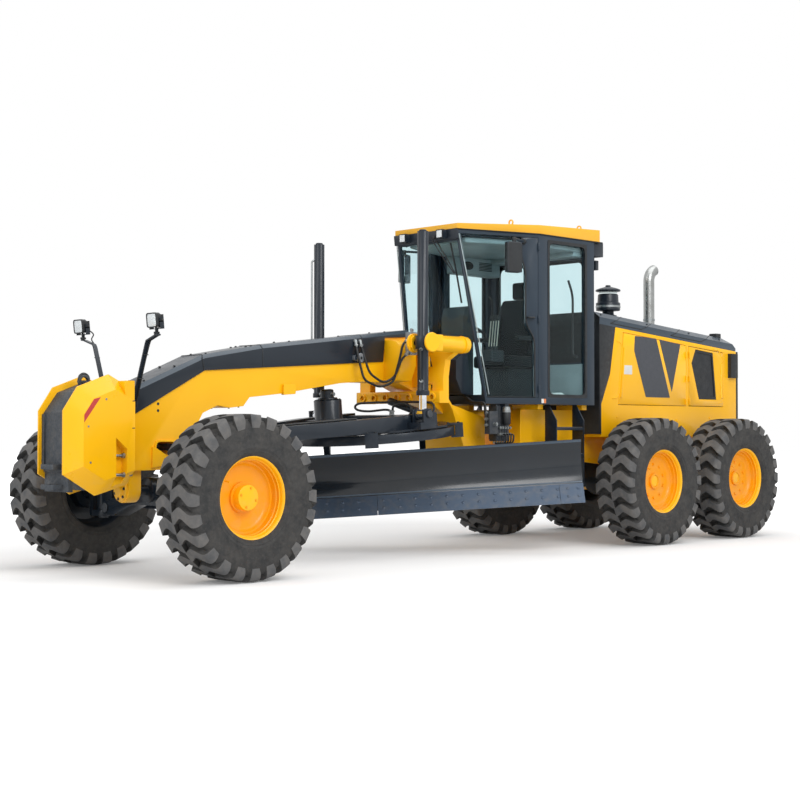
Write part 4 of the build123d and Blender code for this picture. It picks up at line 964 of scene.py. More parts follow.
def build_seat():
    """Padded seat on its base, with arm rests and a back shell."""
    cushion = block((1.560, -0.245, 1.840), (2.060, 0.245, 1.965))
    back = [(1.600, 1.930), (1.700, 1.950), (1.640, 2.520), (1.600, 2.580), (1.530, 2.560), (1.500, 2.480)]
    head = block((1.500, -0.125, 2.580), (1.580, 0.125, 2.760))
    wings = both(side_prism([(1.610, 1.960), (1.740, 1.975), (1.690, 2.380), (1.610, 2.440)], 0.185, 0.240))
    seat = add_piece("seat_pads", "rear_frame",
                     {"cloth": [cushion, side_prism(back, -0.235, 0.235), head, wings]},
                     replaces=("seat",), bevel=0.034, segments=5, angle=30)
    shell = side_prism([(1.490, 1.930), (1.520, 1.930), (1.512, 2.560), (1.482, 2.520)], -0.225, 0.225)
    rests = both(block((1.640, 0.262, 2.120), (1.980, 0.322, 2.165)))
    base = block((1.600, -0.190, 1.502), (1.990, 0.190, 1.838))
    stalks = both(upright(1.545, 0.06, 2.540, 2.600, 0.007, 12))
    add_piece("seat_base", "rear_frame", {"console": [base, rests, shell], "zinc": stalks}, bevel=0.014,
              segments=3)


def build_controls():
    """Steering column with its cowl, pods and pedals, the wheel, and eight levers."""
    column = side_prism([(2.380, 1.502), (2.560, 1.502), (2.440, 2.195), (2.380, 2.165)], -0.060, 0.060)
    cowl = [(2.470, 2.080), (2.640, 2.120), (2.640, 2.330), (2.600, 2.430), (2.500, 2.450), (2.440, 2.300)]
    pods = both(block((2.240, 0.200, 1.880), (2.420, 0.345, 2.000)))
    pedals = both(side_prism([(2.560, 1.540), (2.640, 1.650), (2.625, 1.660), (2.545, 1.550)], 0.080, 0.170))
    pillar = block((1.310, -0.655, 1.502), (1.360, 0.655, 1.880))
    stand = [column, side_prism(cowl, -0.150, 0.150), pods, pedals]
    add_piece("console", "rear_frame", {"console": stand, "lining": pillar},
              replaces=("cab_interior",), bevel=0.020, segments=4, angle=30)
    normal, along, centre = np.array([-0.447, 0, 0.894]), np.array([0.894, 0, 0.447]), at((2.392, 0, 2.190))
    ends = [centre + reach * k for reach in (along * 0.172, np.array([0, 0.172, 0])) for k in (-1, 1)]
    spokes = [peg(centre, end, 0.011, 10) for end in ends]
    hub = peg(centre - normal * 0.05, centre + normal * 0.018, 0.045, 28, 0.008)
    add_piece("steering_wheel", "rear_frame",
              {"black": [torus(centre, normal, 0.178, 0.014), hub, *spokes]}, angle=40)
    u = np.linspace(0, math.pi, 9)
    ball = np.stack([0.032 - 0.032 * np.cos(u), 0.017 * np.sin(u)], -1)
    boot = [(0, 0.016), (0.02, 0.012), (0.024, 0.013), (0.05, 0.007)]
    runs = [at([(2.330, y * k, 1.990), (2.290, y * k, 2.300)]) for y in (0.320, 0.285, 0.250, 0.215)
            for k in (-1, 1)]
    add_piece("levers", "rear_frame", {
        "knob": [peg(foot, top, 0.0055, 10) for foot, top in runs],
        "black": [lathe(ball, top, top - foot, 16) for foot, top in runs]
        + [lathe(boot, foot, top - foot, 14) for foot, top in runs],
    }, angle=40)


def build_cab_inside():
    """Seat, console, wheel, levers, lining, mat and grab rail."""
    build_seat()
    build_controls()
    ceiling = [(1.31, -0.65), (2.09, -0.65), (2.86, -0.385), (2.86, 0.385), (2.09, 0.65), (1.31, 0.65)]
    pods = [block((1.330, -0.650, 2.860), (2.080, -0.500, 3.045)),
            block((1.306, -0.640, 2.990), (1.480, 0.640, 3.045))]
    posts = both(block((2.020, 0.600, 1.520), (2.110, 0.652, 3.040)))
    # The lining finish is made pale: painted light for the dim cab.
    lining = [placed(prism(ceiling, "z", 3.040, 3.096)), *pods]
    add_piece("cab_lining", "rear_frame", {"lining": lining, "frame": posts}, bevel=0.018, segments=3,
              angle=30)
    t = np.arange(28) * 2 * math.pi / 28
    speaker = side_prism(np.stack([1.86 + 0.085 * np.cos(t), 2.955 + 0.045 * np.sin(t)], -1), -0.501, -0.494)
    vents = [side_prism(rectangle(1.480, 1.680, z, z + 0.008), -0.501, -0.493)
             for z in np.arange(2.915, 2.995, 0.016)]
    add_piece("lining_trim", "rear_frame", {"black": [speaker, *vents]}, angle=40)
    floor = [(1.37, -0.62), (2.10, -0.64), (2.62, -0.46), (2.62, 0.46), (2.10, 0.64), (1.37, 0.62)]
    ridges = [block((x, -0.58, 1.513), (x + 0.012, 0.58, 1.517)) for x in np.arange(1.42, 2.10, 0.04)]
    add_piece("floor_mat", "rear_frame", {"mat": [placed(prism(floor, "z", 1.501, 1.514)), *ridges]},
              bevel=0.002)
    fold = [(1.50, 1.520), (1.72, 1.518), (1.73, 1.545), (1.68, 1.575), (1.56, 1.580), (1.50, 1.555)]
    add_piece("folded_cover", "rear_frame", {"paper": side_prism(fold, 0.40, 0.55)}, bevel=0.012, segments=3)
    right = [(1.40, -0.600, 2.05), (1.40, -0.560, 2.05), (1.40, -0.560, 2.62), (1.40, -0.600, 2.66)]
    left = [(1.43, 0.640, 1.95), (1.43, 0.585, 1.97), (1.43, 0.585, 2.60), (1.52, 0.600, 2.74)]
    rails = [bent_hose(at(right), 0.012, 0.05), bent_hose(at(left), 0.012, 0.08)]
    add_piece("grab_rails", "rear_frame", {"black": rails}, angle=40)


# ---------------------------------------------------------------- front end

LAMP_Y, POST_X = 0.527, 6.655  # middle of the left lamp, and station of the post that it swivels on


def build_lamps():
    """Work lamps on bent flat arms beside the neck's nose: finned housing, bezel, lens, swivel and cable."""
    square = rounded(rectangle(-0.0675, 0.0675, -0.060, 0.060), 0.026, 6)
    levels = [(-0.004, 0), (-0.004, 0.62), (0.004, 0.72), (0.022, 0.80), (0.034, 0.95), (0.066, 0.98),
              (0.070, 0.99), (0.074, 0.97), (0.074, 0.0)]
    fins = [box((-0.012, y - 0.0022, -0.042), (0.024, y + 0.0022, 0.042))
            for y in np.linspace(-0.042, 0.042, 8)]
    bezel = ring_plate(square, square * 0.86, "x", 0.062, 0.079)
    pane = loft(square, "x", [(0.0745, 0), (0.0745, 0.85), (0.0765, 0.85), (0.0795, 0.6), (0.0805, 0.0)])
    yoke = [both(box((0.010, 0.068, low), (0.050, 0.074, high))) for low,
            high in ((-0.018, 0.018), (-0.070, -0.010))]
    yoke.append(box((0.010, -0.074, -0.074), (0.050, 0.074, -0.068)))
    pins = [bolts([(0.030, 0.075 * k, 0)], (0, k, 0), 0.009) for k in (1, -1)]

    def aimed(*patches):
        """Patches from the lamp's frame."""
        return tilted(joined(*patches), (6.630, LAMP_Y, 2.075), 0.0997)

    arm = [(6.638, 0.192, 1.385), (6.638, 0.200, 1.430), (6.638, 0.373, 1.890), (6.640, 0.386, 1.912),
           (6.645, 0.515, 1.952), (6.650, 0.545, 1.955)]
    feet = [block((6.598, 0.177, 1.372), (6.654, 0.190, 1.450)),
            block((6.632, 0.186, 1.380), (6.644, 0.206, 1.442))]
    post = [upright(POST_X, LAMP_Y, 1.950, 2.012, 0.014, 20, 0.003),
            upright(POST_X, LAMP_Y, 1.962, 1.978, 0.024, 6)]
    cable = [(6.628, 0.527, 2.050), (6.600, 0.500, 2.030), (6.600, 0.455, 2.000), (6.622, 0.450, 1.958),
             (6.626, 0.400, 1.905), (6.626, 0.330, 1.745), (6.626, 0.240, 1.500), (6.622, 0.200, 1.420)]
    ties = [moved(box((-0.026, -0.010, -0.003), (0.014, 0.016, 0.003)), at((6.640, y, z)))
            for y, z in ((0.345, 1.800), (0.275, 1.610))]
    heads = bolts(at([(6.610, 0.190, 1.388), (6.610, 0.190, 1.434)]), Y, 0.009)
    add_piece("front_lamps_skin", "front_frame", {
        "black": [aimed(loft(square, "x", levels), *fins, bezel), hose(at(cable), 0.0055, 8, 5), *ties],
        "lens": aimed(pane),
        "charcoal": [aimed(*yoke), strip(at(arm), 0.040, 0.012), *feet], "bolt": [aimed(*pins), *post, heads],
    }, turn=both, replaces=("front_lamps",), angle=35)


def build_weight():
    """Reflectors, studs, clamp bolts, lifting ring and flanges of the front weight."""
    sheet = side_prism([(7.180, 1.252), (7.180, 1.312), (7.090, 1.437), (7.028, 1.452)], 0.2995, 0.3020)
    add_piece("weight_reflectors", "front_frame", {"red": sheet}, turn=both, angle=30)
    studs = at([(6.975, 0.300, 1.437), (7.140, 0.300, 1.220), (7.120, 0.300, 0.935)])
    fixings = [bolts(studs, Y, 0.007, 0.004)]
    for z in (0.986, 0.831):
        fixings.append(peg(at((6.700, 0.258, z)), at((6.905, 0.258, z)), 0.012, 16, 0.002))
        fixings.append(turned([(0, 0.022), (0.020, 0.022)], at((6.776, 0.258, z)), X, 6))
    ring = torus(at((6.990, 0, 1.600)), Y, 0.045, 0.012, 40)
    ears = [block((6.965, y - 0.008, 1.545), (7.015, y + 0.008, 1.592)) for y in (-0.035, 0.035)]
    lug = [peg(*at([(6.990, -0.050, 1.572), (6.990, 0.050, 1.572)]), 0.014, 16, 0.003), *ears]
    add_piece("weight_fixings", "front_frame", {"zinc": both(joined(*fixings)), "black": ring, "cast": lug},
              angle=35)
    flange = [(6.702, 1.350), (6.702, 1.590), (6.790, 1.590), (6.800, 1.560), (6.778, 1.350)]
    # The slots are black blocks: painted shade in the openings.
    slot_shades = [block((6.698, 0.270, z), (6.730, 0.302, z + 0.010)) for z in (1.421, 1.202)]
    add_piece("weight_flanges", "front_frame", {"yellow": side_prism(flange, 0.174, 0.298), "black": slot_shades},
              both, bevel=0.005)


def build_neck():
    """Cover seams and screws, gusset, slot lip, lower pad, pivot boss and small holes on the neck."""
    runs = [
        [(5.912, 0.1755, 1.703), (5.930, 0.1755, 1.800), (5.908, 0.144, 1.834), (5.908, 0.0, 1.835)],
        [(5.262, 0.1755, 1.750), (5.268, 0.1755, 1.912), (5.270, 0.144, 1.944), (5.270, 0.0, 1.944)],
        [(4.060, 0.1755, 1.823), (4.060, 0.1755, 2.052), (4.060, 0.144, 2.085), (4.060, 0.0, 2.086)],
    ]
    top = [(6.480, 1.601), (6.171, 1.729), (5.840, 1.846), (5.400, 1.923), (5.345, 1.932), (4.900, 1.989),
           (4.300, 2.061), (3.700, 2.129)]
    screws = bolts(at([(x, y, z) for x, z in top for y in (0.105, -0.105)]), (0.15, 0, 1), 0.009, 0.008)
    seams = [both(bead(at(run), 0.004)) for run in runs]
    add_piece("neck_cover_seams", "front_frame", {"black": seams, "bolt": screws}, angle=50)
    gusset = [(6.440, 0.880), (6.440, 1.052), (6.395, 1.040), (6.262, 0.962), (6.252, 0.905)]
    pad = rounded([(5.030, 1.505), (5.030, 1.600), (4.888, 1.604), (4.888, 1.516)], 0.012, 4)
    slot = (6.196, 6.394, 0.986, 1.094)
    edges = rounded(rectangle(*slot, 0.016), 0.050, 6), rounded(rectangle(*slot), 0.044, 6)
    lip = ring_plate(*edges, "y", 0.157, 0.168)
    plates = [both(side_prism(gusset, 0.158, 0.178)), both(side_prism(pad, 0.150, 0.186)), both(placed(lip))]
    boss = [(0, 0.086), (0.018, 0.088), (0.026, 0.084), (0.026, 0.050), (0.040, 0.047), (0.046, 0.040)]
    plates.append(turned(boss, at((6.618, 0, 0.690)), X, 48))
    angles = np.arange(6) * math.pi / 3 + 0.3
    heads = bolts(at([(6.645, 0.068 * math.cos(a), 0.690 + 0.068 * math.sin(a)) for a in angles]), X, 0.010)
    holes = ((5.600, 1.378), (5.492, 1.388))
    nubs = [both(upright(x, 0.120, z, z + 0.034, 0.008, 12, 0.002)) for x, z in holes]
    add_piece("neck_plates", "front_frame", {"yellow": plates, "bolt": [heads, *nubs]},
              bevel=0.003)
    dots = [turned([(0, 0.013), (0.002, 0.012)], at((6.374, 0.1595, z)), Y, 24) for z in (1.409, 1.353)]
    card = side_prism(rectangle(6.288, 6.335, 0.898, 0.930), 0.178, 0.1795)
    add_piece("neck_marks", "front_frame", {"black": both(joined(*dots)), "paper": card}, angle=40)


# ---------------------------------------------------------------- saddle, cylinders and hoses

NECK_LINES = (
    [(4.153, 0.188, 2.010), (4.165, 0.232, 1.880), (4.130, 0.275, 1.655), (3.950, 0.300, 1.590),
     (3.800, 0.330, 1.640), (3.785, 0.400, 1.860), (3.778, 0.434, 2.000), (3.709, 0.436, 2.042)],
    [(4.094, 0.188, 2.010), (4.090, 0.232, 1.890), (4.060, 0.275, 1.720), (3.900, 0.300, 1.630),
     (3.788, 0.340, 1.690), (3.786, 0.418, 1.850), (3.712, 0.438, 1.922)],
)
BAR_LINES = (
    [(3.570, 0.060, 1.343), (3.570, 0.060, 1.372), (3.585, 0.000, 1.388), (3.640, -0.170, 1.374),
     (3.682, -0.275, 1.385), (3.692, -0.312, 1.415), (3.684, -0.275, 1.446), (3.650, -0.160, 1.457),
     (3.640, 0.200, 1.458), (3.618, 0.560, 1.455), (3.632, 0.680, 1.436), (3.668, 0.732, 1.385),
     (3.698, 0.728, 1.325), (3.712, 0.705, 1.282)],
    [(3.592, 0.110, 1.342), (3.592, 0.110, 1.372), (3.606, 0.130, 1.412), (3.650, 0.220, 1.438),
     (3.684, 0.380, 1.440), (3.700, 0.462, 1.408), (3.704, 0.470, 1.360), (3.698, 0.400, 1.316),
     (3.690, 0.220, 1.302), (3.672, 0.110, 1.300), (3.653, 0.060, 1.300)],
)


def build_hoses(s):
    """Hoses on the neck and the drawbar, with their plated ends."""
    neck = [bent_hose(at(line), s.hose_radius, 0.060, 16) for line in NECK_LINES]
    loops = [hose(at(line), s.hose_radius, 16, 7) for line in BAR_LINES]
    groups = ("neck_hoses", "front_frame", NECK_LINES, neck), ("drawbar_hoses", "drawbar", BAR_LINES, loops)
    for name, body, lines, tubes in groups:
        ends = []
        for line in lines:
            for tip, inner in at([line[:2], line[:-3:-1]]):
                away = (inner - tip) / np.linalg.norm(inner - tip)
                ends.append(fitting(tip - away * 0.004, tip + away * 0.045, 0.0118))
        add_piece(name + "_skin", body, {"hose": tubes, "zinc": ends}, replaces=(name,),
                  angle=45)


def port(start, reach, radius):
    """Fitting that stands out of a place in the tandem's frame by a reach."""
    return fitting(at(start), at(start) + reach, radius)


def build_saddle():
    """Discs, rounded boss ends, collars, link bar's rings, manifold ports, elbows and hose clamp."""
    dome = [(0, 0), (0, 0.030), (0.010, 0.058), (0.030, 0.074), (0.050, 0.082), (0.075, 0.084),
            (0.075, 0.076)]
    collar = [(0, 0.060), (0, 0.086), (0.012, 0.088), (0.022, 0.086), (0.022, 0.060)]
    disc = [(0, 0.086), (0.004, 0.090), (0.020, 0.090), (0.026, 0.084)]
    bosses = [lathe(dome, at((3.192, 0.700, 2.0)), X, 40), lathe(collar, at((3.640, 0.700, 2.0)), X, 40)]
    bosses += [turned(disc, at((LIFT_X, LIFT_Y + k * 0.104, 2.0)), (0, k, 0), 40) for k in (1, -1)]
    hole = [(0, 0.0245), (0, 0.040), (0.010, 0.042), (0.016, 0.040), (0.016, 0.0245)]
    rings = [lathe(hole, at((3.423, y, 1.507)), X, 28) for y in np.arange(-0.48, 0.481, 0.16)]
    add_piece("saddle_bosses", "front_frame", {"yellow": [both(joined(*bosses)), *rings]},
              angle=35)
    ports = [port((3.704, 0.436, 2.042), (-0.010, 0, 0.004), 0.014)]
    ports += [port((x, 0.468, z), (0, 0.050, 0), 0.010)
              for x, z in ((3.638, 2.085), (3.676, 2.040), (3.638, 1.950), (3.676, 1.925))]
    ports += [port((x, y, 2.112), (0, 0, 0.038), 0.010) for x, y in ((3.635, 0.415), (3.675, 0.445))]
    for x in (4.153, 4.094):
        ports.append(bent_hose(at([(x, 0.170, 2.022), (x, 0.190, 2.026), (x, 0.192, 2.000)]), 0.013, 0.02))
        ports.append(turned([(0, 0.022), (0.012, 0.022)], at((x, 0.174, 2.022)), Y, 6))
    add_piece("hose_ports", "front_frame", {"zinc": ports}, angle=35)
    clamp = [turned([(0, 0.040), (0.004, 0.044), (0.022, 0.044), (0.026, 0.040)], at((4.122, 0.206, 1.864)),
                    Y, 32),
             side_prism(rounded(rectangle(4.058, 4.187, 1.840, 1.890), 0.012, 4), 0.176, 0.212)]
    bolt = bolts(at([(4.122, 0.232, 1.864)]), Y, 0.010)
    add_piece("hose_clamp", "front_frame", {"steel": clamp, "bolt": bolt}, bevel=0.002)


def build_cylinders():
    """Pipes, glands, caps and rod ends of the lift cylinders."""
    run = [(3.850, 0.748, 1.640), (3.872, 0.756, 1.655), (3.872, 0.756, 1.925), (3.852, 0.748, 1.940)]
    far = [(3.845, -0.742, 1.600), (3.868, -0.752, 1.615), (3.868, -0.752, 2.860), (3.845, -0.742, 2.875)]
    near_pipe, far_pipe = (bent_hose(at(line), 0.009, 0.02, 12) for line in (run, far))
    blocks = [fitting(at(end) - (0.010, 0.006, 0), at(end) + (0.014, 0.006, rise), 0.011)
              for end, rise in ((run[0], 0.008), (run[-1], -0.008))]
    gland = lathe([(0, 0.036), (0, 0.060), (0.008, 0.062), (0.040, 0.062), (0.046, 0.056), (0.046, 0.050)],
                  at((LIFT_X, LIFT_Y, 1.512)), Z, 36)
    cap = turned([(0, 0.034), (0.012, 0.036), (0.018, 0.030)], at((LIFT_X, LIFT_Y, 3.028)), Z)
    pipes = {"black": near_pipe, "zinc": [far_pipe, *blocks], "charcoal": both(joined(gland, cap))}
    add_piece("lift_barrel_pipes", "lift_cylinders", pipes, angle=40)
    eye = [(0, 0.026), (0, 0.050), (0.008, 0.052), (0.008, 0.026)]
    eyes = [lathe(eye, at((LIFT_X, LIFT_Y + k * 0.041, 1.340)), (0, k, 0), 28) for k in (1, -1)]
    add_piece("lift_rod_ends", "lift_rods", {"cast": eyes}, both, angle=35)


SLICE, SLICES = 0.0372, 5  # pitch and number of the valve bank's slices


def build_valves():
    """Valve bank, filter and hose bundle below the cab's floor."""
    bank = [block((x, 0.444, 1.100), (x + 0.034, 0.556, 1.430)) for x in 2.404 + np.arange(SLICES) * SLICE]
    bank += [block((2.592, 0.508, 1.152), (2.718, 0.578, 1.378)),
             block((2.402, 0.452, 1.082), (2.588, 0.548, 1.448))]
    add_piece("valve_bank", "rear_frame", {"cast": bank}, replaces=("valve_block",), bevel=0.005)
    foot = at((2.500, 0.605, 1.242))
    can = turned([(0, 0.030), (0.006, 0.038), (0.014, 0.042), (0.120, 0.042), (0.124, 0.040)], foot, Z, 40)
    head = turned([(0.124, 0.044), (0.150, 0.044), (0.154, 0.040), (0.176, 0.038), (0.184, 0.026)], foot, Z,
                  40)
    bracket = block((2.472, 0.550, 1.385), (2.528, 0.612, 1.447))
    columns = 2.421 + np.arange(SLICES) * SLICE
    ports = [port((2.655, 0.576, 1.250), (0, 0.046, 0), 0.012)]
    for x in columns:
        ports += [port((x, 0.552, z), (0, 0.044, 0), 0.0095) for z in (1.150, 1.215)]
        ports.append(port((x, 0.500, 1.092), (0, 0, -0.036), 0.0085))
    ports += [port((2.716, 0.545, 1.360 - 0.06 * k), (0.036, 0, 0.002), 0.0115) for k in range(3)]
    add_piece("valve_fittings", "rear_frame", {"black": can, "zinc": [head, *ports], "charcoal": bracket},
              angle=35)
    tubes = []
    for k in range(3):
        x, y = 2.800 - 0.022 * k, 0.345 - 0.034 * k
        line = [(x + 0.004, y - 0.012, 1.534), (x, y, 1.520), (x - 0.016, y + 0.062, 1.470),
                (2.752, 0.542 - 0.002 * k, 1.464), (2.744, 0.546 - 0.002 * k, 1.400 - 0.020 * k),
                (2.736, 0.545, 1.361 - 0.06 * k)]
        tubes.append(bent_hose(at(line), 0.0112, 0.035, 14))
    for x in columns[:-1]:
        line = [(x, 0.594, 1.150), (x, 0.628, 1.140), (x + 0.01, 0.628, 1.075), (x + 0.02, 0.570, 1.050),
                (x + 0.03, 0.510, 1.062)]
        tubes.append(hose(at(line), 0.008, 10, 5))
    add_piece("valve_hoses", "rear_frame", {"hose": tubes}, angle=45)


# ---------------------------------------------------------------- blade, circle, drawbar and axles

BLADE_HALF = 1.9825  # half the mouldboard's length
MOTOR_X = 0.560  # station of the circle drive ahead of the circle's centre


def face_strip(low, high, count, proud, inset):
    """Strip along the mouldboard's curved face between two heights, standing proud of it."""
    z = np.linspace(low, high, count)
    front, back = np.stack([blade_x(z) + proud, z], -1), np.stack([blade_x(z) - 0.004, z], -1)
    outline = np.concatenate([front, back[::-1]])
    return prism(outline, "y", inset - BLADE_HALF, BLADE_HALF - inset)


def build_blade(s):
    """Top lip and weld along the mouldboard, and the bolts of the cutting edges."""
    # Painted highlight: pale strips on the top lip and on the weld.
    highlight_strips = [face_strip(-0.232, -0.207, 5, 0.0012, 0.002), face_strip(-0.625, -0.610, 4, 0.003, 0.004)]
    add_piece("blade_lip", "blade", {"lip": highlight_strips}, on_blade, angle=30)
    y = np.concatenate([np.arange(-1.70, -0.04, s.bolt_pitch), np.arange(0.06, 1.75, s.bolt_pitch),
                        [-1.93, -1.83, 1.83, 1.93]])
    rows = [[(0.1053 - 0.1114 * share, place, -0.806 + 0.176 * share) for place in y]
            for share in (0.36, 0.74)]
    u = np.linspace(0, math.pi / 2, 4)
    dome = lathe(np.stack([0.006 * np.sin(u), 0.015 * np.cos(u)], -1), (0, 0, 0), (0.845, 0, 0.535), 14)
    heads = repeated(dome, np.concatenate(rows))
    add_piece("cutting_edge_bolts", "blade", {"edge": heads}, on_blade, angle=50)


def build_circle():
    """Shoe bolts, turning motor, pipes and lift pins of the drawbar, and the blade's tip pins."""
    shoes = [(r * math.cos(a) - w * math.sin(a), r * math.sin(a) + w * math.cos(a), 0.024)
             for a in np.radians((45, 135, 225, 315)) for r in (0.720, 0.820) for w in (-0.038, 0.038)]
    angles = np.arange(10) * math.pi / 5
    circle = [(MOTOR_X + 0.112 * math.cos(a), 0.112 * math.sin(a), 0.331) for a in angles]
    heads = [bolts(shoes, Z, 0.013), bolts(circle, Z, 0.010)]
    motor = lathe([(0.328, 0.060), (0.328, 0.092), (0.340, 0.096), (0.352, 0.090), (0.356, 0.062),
                   (0.420, 0.0615), (0.426, 0.056), (0.432, 0.040), (0.432, 0)], (MOTOR_X, 0, 0), Z, 40)
    flange = lathe([(0.030, 0.128), (0.030, 0.150), (0.048, 0.152), (0.052, 0.146), (0.052, 0.128)],
                   (MOTOR_X, 0, 0), Z, 48)
    ports = [fitting((MOTOR_X, 0.058 * k, 0.385), (MOTOR_X, 0.100 * k, 0.385), 0.012) for k in (1, -1)]
    add_piece("circle_drive_trim", "drawbar", {"bolt": heads, "charcoal": [motor, flange], "zinc": ports},
              on_circle, angle=35)
    lines = [[(2.02 - 1.05 * (y - 0.30), y * 0.36, 0.158), (1.20, y * 0.62, 0.158), (0.62, y * 1.05, 0.158)]
             for y in (0.30, 0.42)]
    rails = [hose(line, 0.009, 10, 6) for line in lines]
    add_piece("drawbar_pipes", "drawbar", {"black": rails}, turn=on_circle, angle=45)
    pin = [(0, 0.030), (0.008, 0.034), (0.020, 0.034), (0.024, 0.030)]
    pins = [turned(pin, at((LIFT_X, LIFT_Y + k * 0.075, 1.340)), (0, k, 0)) for k in (1, -1)]
    add_piece("lift_eye_pins", "drawbar", {"cast": pins}, both, angle=35)
    tip = [(0, 0.034), (0.010, 0.038), (0.020, 0.034)]
    tips = [turned(tip, (-0.210, k * 0.502, -0.660), (0, k, 0)) for k in (1, -1)]
    add_piece("blade_tip_pins", "blade_carriage", {"cast": tips}, on_blade, angle=35)


def build_axle():
    """Kingpin caps with grease nipples, and lean pin caps, at the front axle."""
    x, y = WHEELS["front"][0], 0.800
    cap = [(0, 0), (0, 0.044), (0.010, 0.046), (0.016, 0.040), (0.018, 0)]
    caps = [lathe(cap, at((x, y, z)), (0, 0, k), 28) for z, k in ((0.840, 1), (0.440, -1))]
    nipple = upright(x + 0.020, y, 0.856, 0.876, 0.005, 10)
    for word, turn in SIDES:
        add_piece("kingpin_caps_" + word, "knuckle_" + word, {"cast": caps, "zinc": nipple},
                  turn, angle=35)
    pin = [(0, 0.038), (0.010, 0.042), (0.016, 0.036)]
    pins = [turned(pin, at((x + k * 0.091, 0.640, 0.520)), (k, 0, 0)) for k in (1, -1)]
    add_piece("lean_pin_caps", "front_frame", {"cast": pins}, both, angle=35)


def build_rear():
    """Radiator screen, small box on the hood and ladder treads."""
    screen = block((-1.516, -0.622, 1.208), (-1.512, 0.622, 1.995))
    add_piece("radiator_screen", "rear_frame", {"grille": screen}, angle=30)
    add_piece("hood_box", "rear_frame", {"black": block((-1.330, 0.490, 2.262), (-1.230, 0.590, 2.318))},
              bevel=0.008)
    ribs = [block((x, 0.644, z + 0.030), (x + 0.012, 0.771, z + 0.034))
            for z in (0.650, 0.920, 1.190) for x in np.arange(1.51, 1.91, 0.035)]
    add_piece("ladder_treads", "rear_frame", {"steel": ribs}, both, angle=30)


# ---------------------------------------------------------------- dressing

DRESSED = (
    ("yellow", "yellow_paint", (
        ("rear_frame", 0.004), ("tandem_cases", 0.008), ("front_frame", 0.012),
        ("counterweight_castings", 0.012),
    )),
    ("charcoal", "dark_paint", (
        ("rear_axle", 0.008), ("ladders", 0.003), ("lift_barrels", 0.003), ("front_axle", 0.006),
        ("lean_bracket_left", 0.006), ("lean_bracket_right", 0.006), ("knuckle_left", 0.006),
        ("knuckle_right", 0.006), ("tie_rod", 0.002), ("lean_bar", 0.003), ("drawbar", 0.006),
        ("circle", 0.004), ("blade_carriage", 0.005), ("cab_trim", 0.006),
    )),
    ("frame", "dark_paint", (("cab_frame", 0.012), ("cab_door_left", 0.006), ("cab_door_right", 0.006))),
    ("black", "black_plastic", (("rear_grille", 0.004),)),
    ("cast", "cast_steel", (("counterweight_core", 0.008),)),
    ("blade", "dark_paint", (("blade", 0.003),)),
    ("roof", "yellow_paint", (("cab_roof", 0.010),)),
)  # finish, slot, and each node with the rounding of its edges

PLAIN = {
    "engine": "black", "tie_ball": "chrome", "lift_rods": "chrome", "cutting_edges": "edge",
    "cab_glass": "glass", "cab_door_glass_left": "glass", "cab_door_glass_right": "glass",
}  # nodes that keep their shapes, and their finishes


def between(values, low, high):
    """Marks for the values inside a range."""
    return (values > low) & (values < high)


def build_dressing():
    """Painted CAD pieces with welded, rounded edges, and the others in their finishes."""
    for look, slot, nodes in DRESSED:
        for node, bevel in nodes:
            dress(node, look, bevel)
    for node, look in PLAIN.items():
        materials = frame["nodes"][node].data.materials
        materials.clear()
        materials.append(LOOKS[look])
    depth, start = 0.135, 1.100  # of the hood cover's slate part under its top, and the cover's front station
    dress("hood_cover", "slate", 0.008,
          split=("black", lambda c, n: (c[:, 2] < hood_top(c[:, 0]) - depth) | (n[:, 0] > 0.6)),
          cut=((start, 0, hood_top(start) - depth), (-0.0753, 0, 1)))
    dress("neck_cover", "charcoal", 0.006,
          split=("slate", lambda c, n: (n[:, 2] > 0.3) & (np.abs(n[:, 1]) > 0.3)))
    dress("hood_sides", "yellow", 0.006,
          split=("black", lambda c, n: (c[:, 0] < -1.32) & (np.abs(c[:, 1]) > 0.6815) & (c[:, 2] > 1.78)))
    for word, _ in SIDES:
        dress("hood_door_front_" + word, "yellow", 0.003, merge=False)
        dress("hood_door_rear_" + word, "yellow", 0.006,
              split=("black", lambda c, n: between(np.abs(c[:, 1]), 0.670, 0.681)
                     & between(c[:, 0], -1.10, -0.56)))
    dress("saddle", "yellow", 0.008,
          split=("steel", lambda c, n: between(c[:, 0], 3.600, 3.710) & between(c[:, 1], 0.389, 0.475)
                 & (c[:, 2] > 1.89)))


# ---------------------------------------------------------------- stage

WHITE = (1, 1, 1, 1)
LAMPS = (("key", (4, 12, 9), 7), ("fill", (14, -2, 7), 8), ("top", (-2, 2, 12), 11))  # name, place, size
TARGET = (0, 0, 1)  # the point that the lamps face


def floor_look():
    """Pale studio floor: diffuse near the machine, fading by a camera-only glow into the white behind it."""
    f = Finish("Studio floor", "E6E6E6", Roughness=0.9, Specular_IOR_Level=0.1, Emission_Color=WHITE)
    f.tone(f.noise(0.4, 2), 0.4, 0.7, 0.2, "E0E0E0")
    distance = wire(f.tree, "VectorMath", "Value", {0: f.place}, operation="LENGTH")
    glow = f.times(f.ramp(distance, 4, 14, 0.12, 1.0), wire(f.tree, "LightPath", "Is Camera Ray", {}))
    return f.link(glow, "Emission Strength").material


def stand(name, data, place, aim):
    """Object at a place whose own -Z looks along aim, linked to the scene."""
    thing = bpy.data.objects.new(name, data)
    thing.location = place
    thing.rotation_euler = Vector(aim).to_track_quat("-Z", "Y").to_euler()
    bpy.context.scene.collection.objects.link(thing)
    return thing


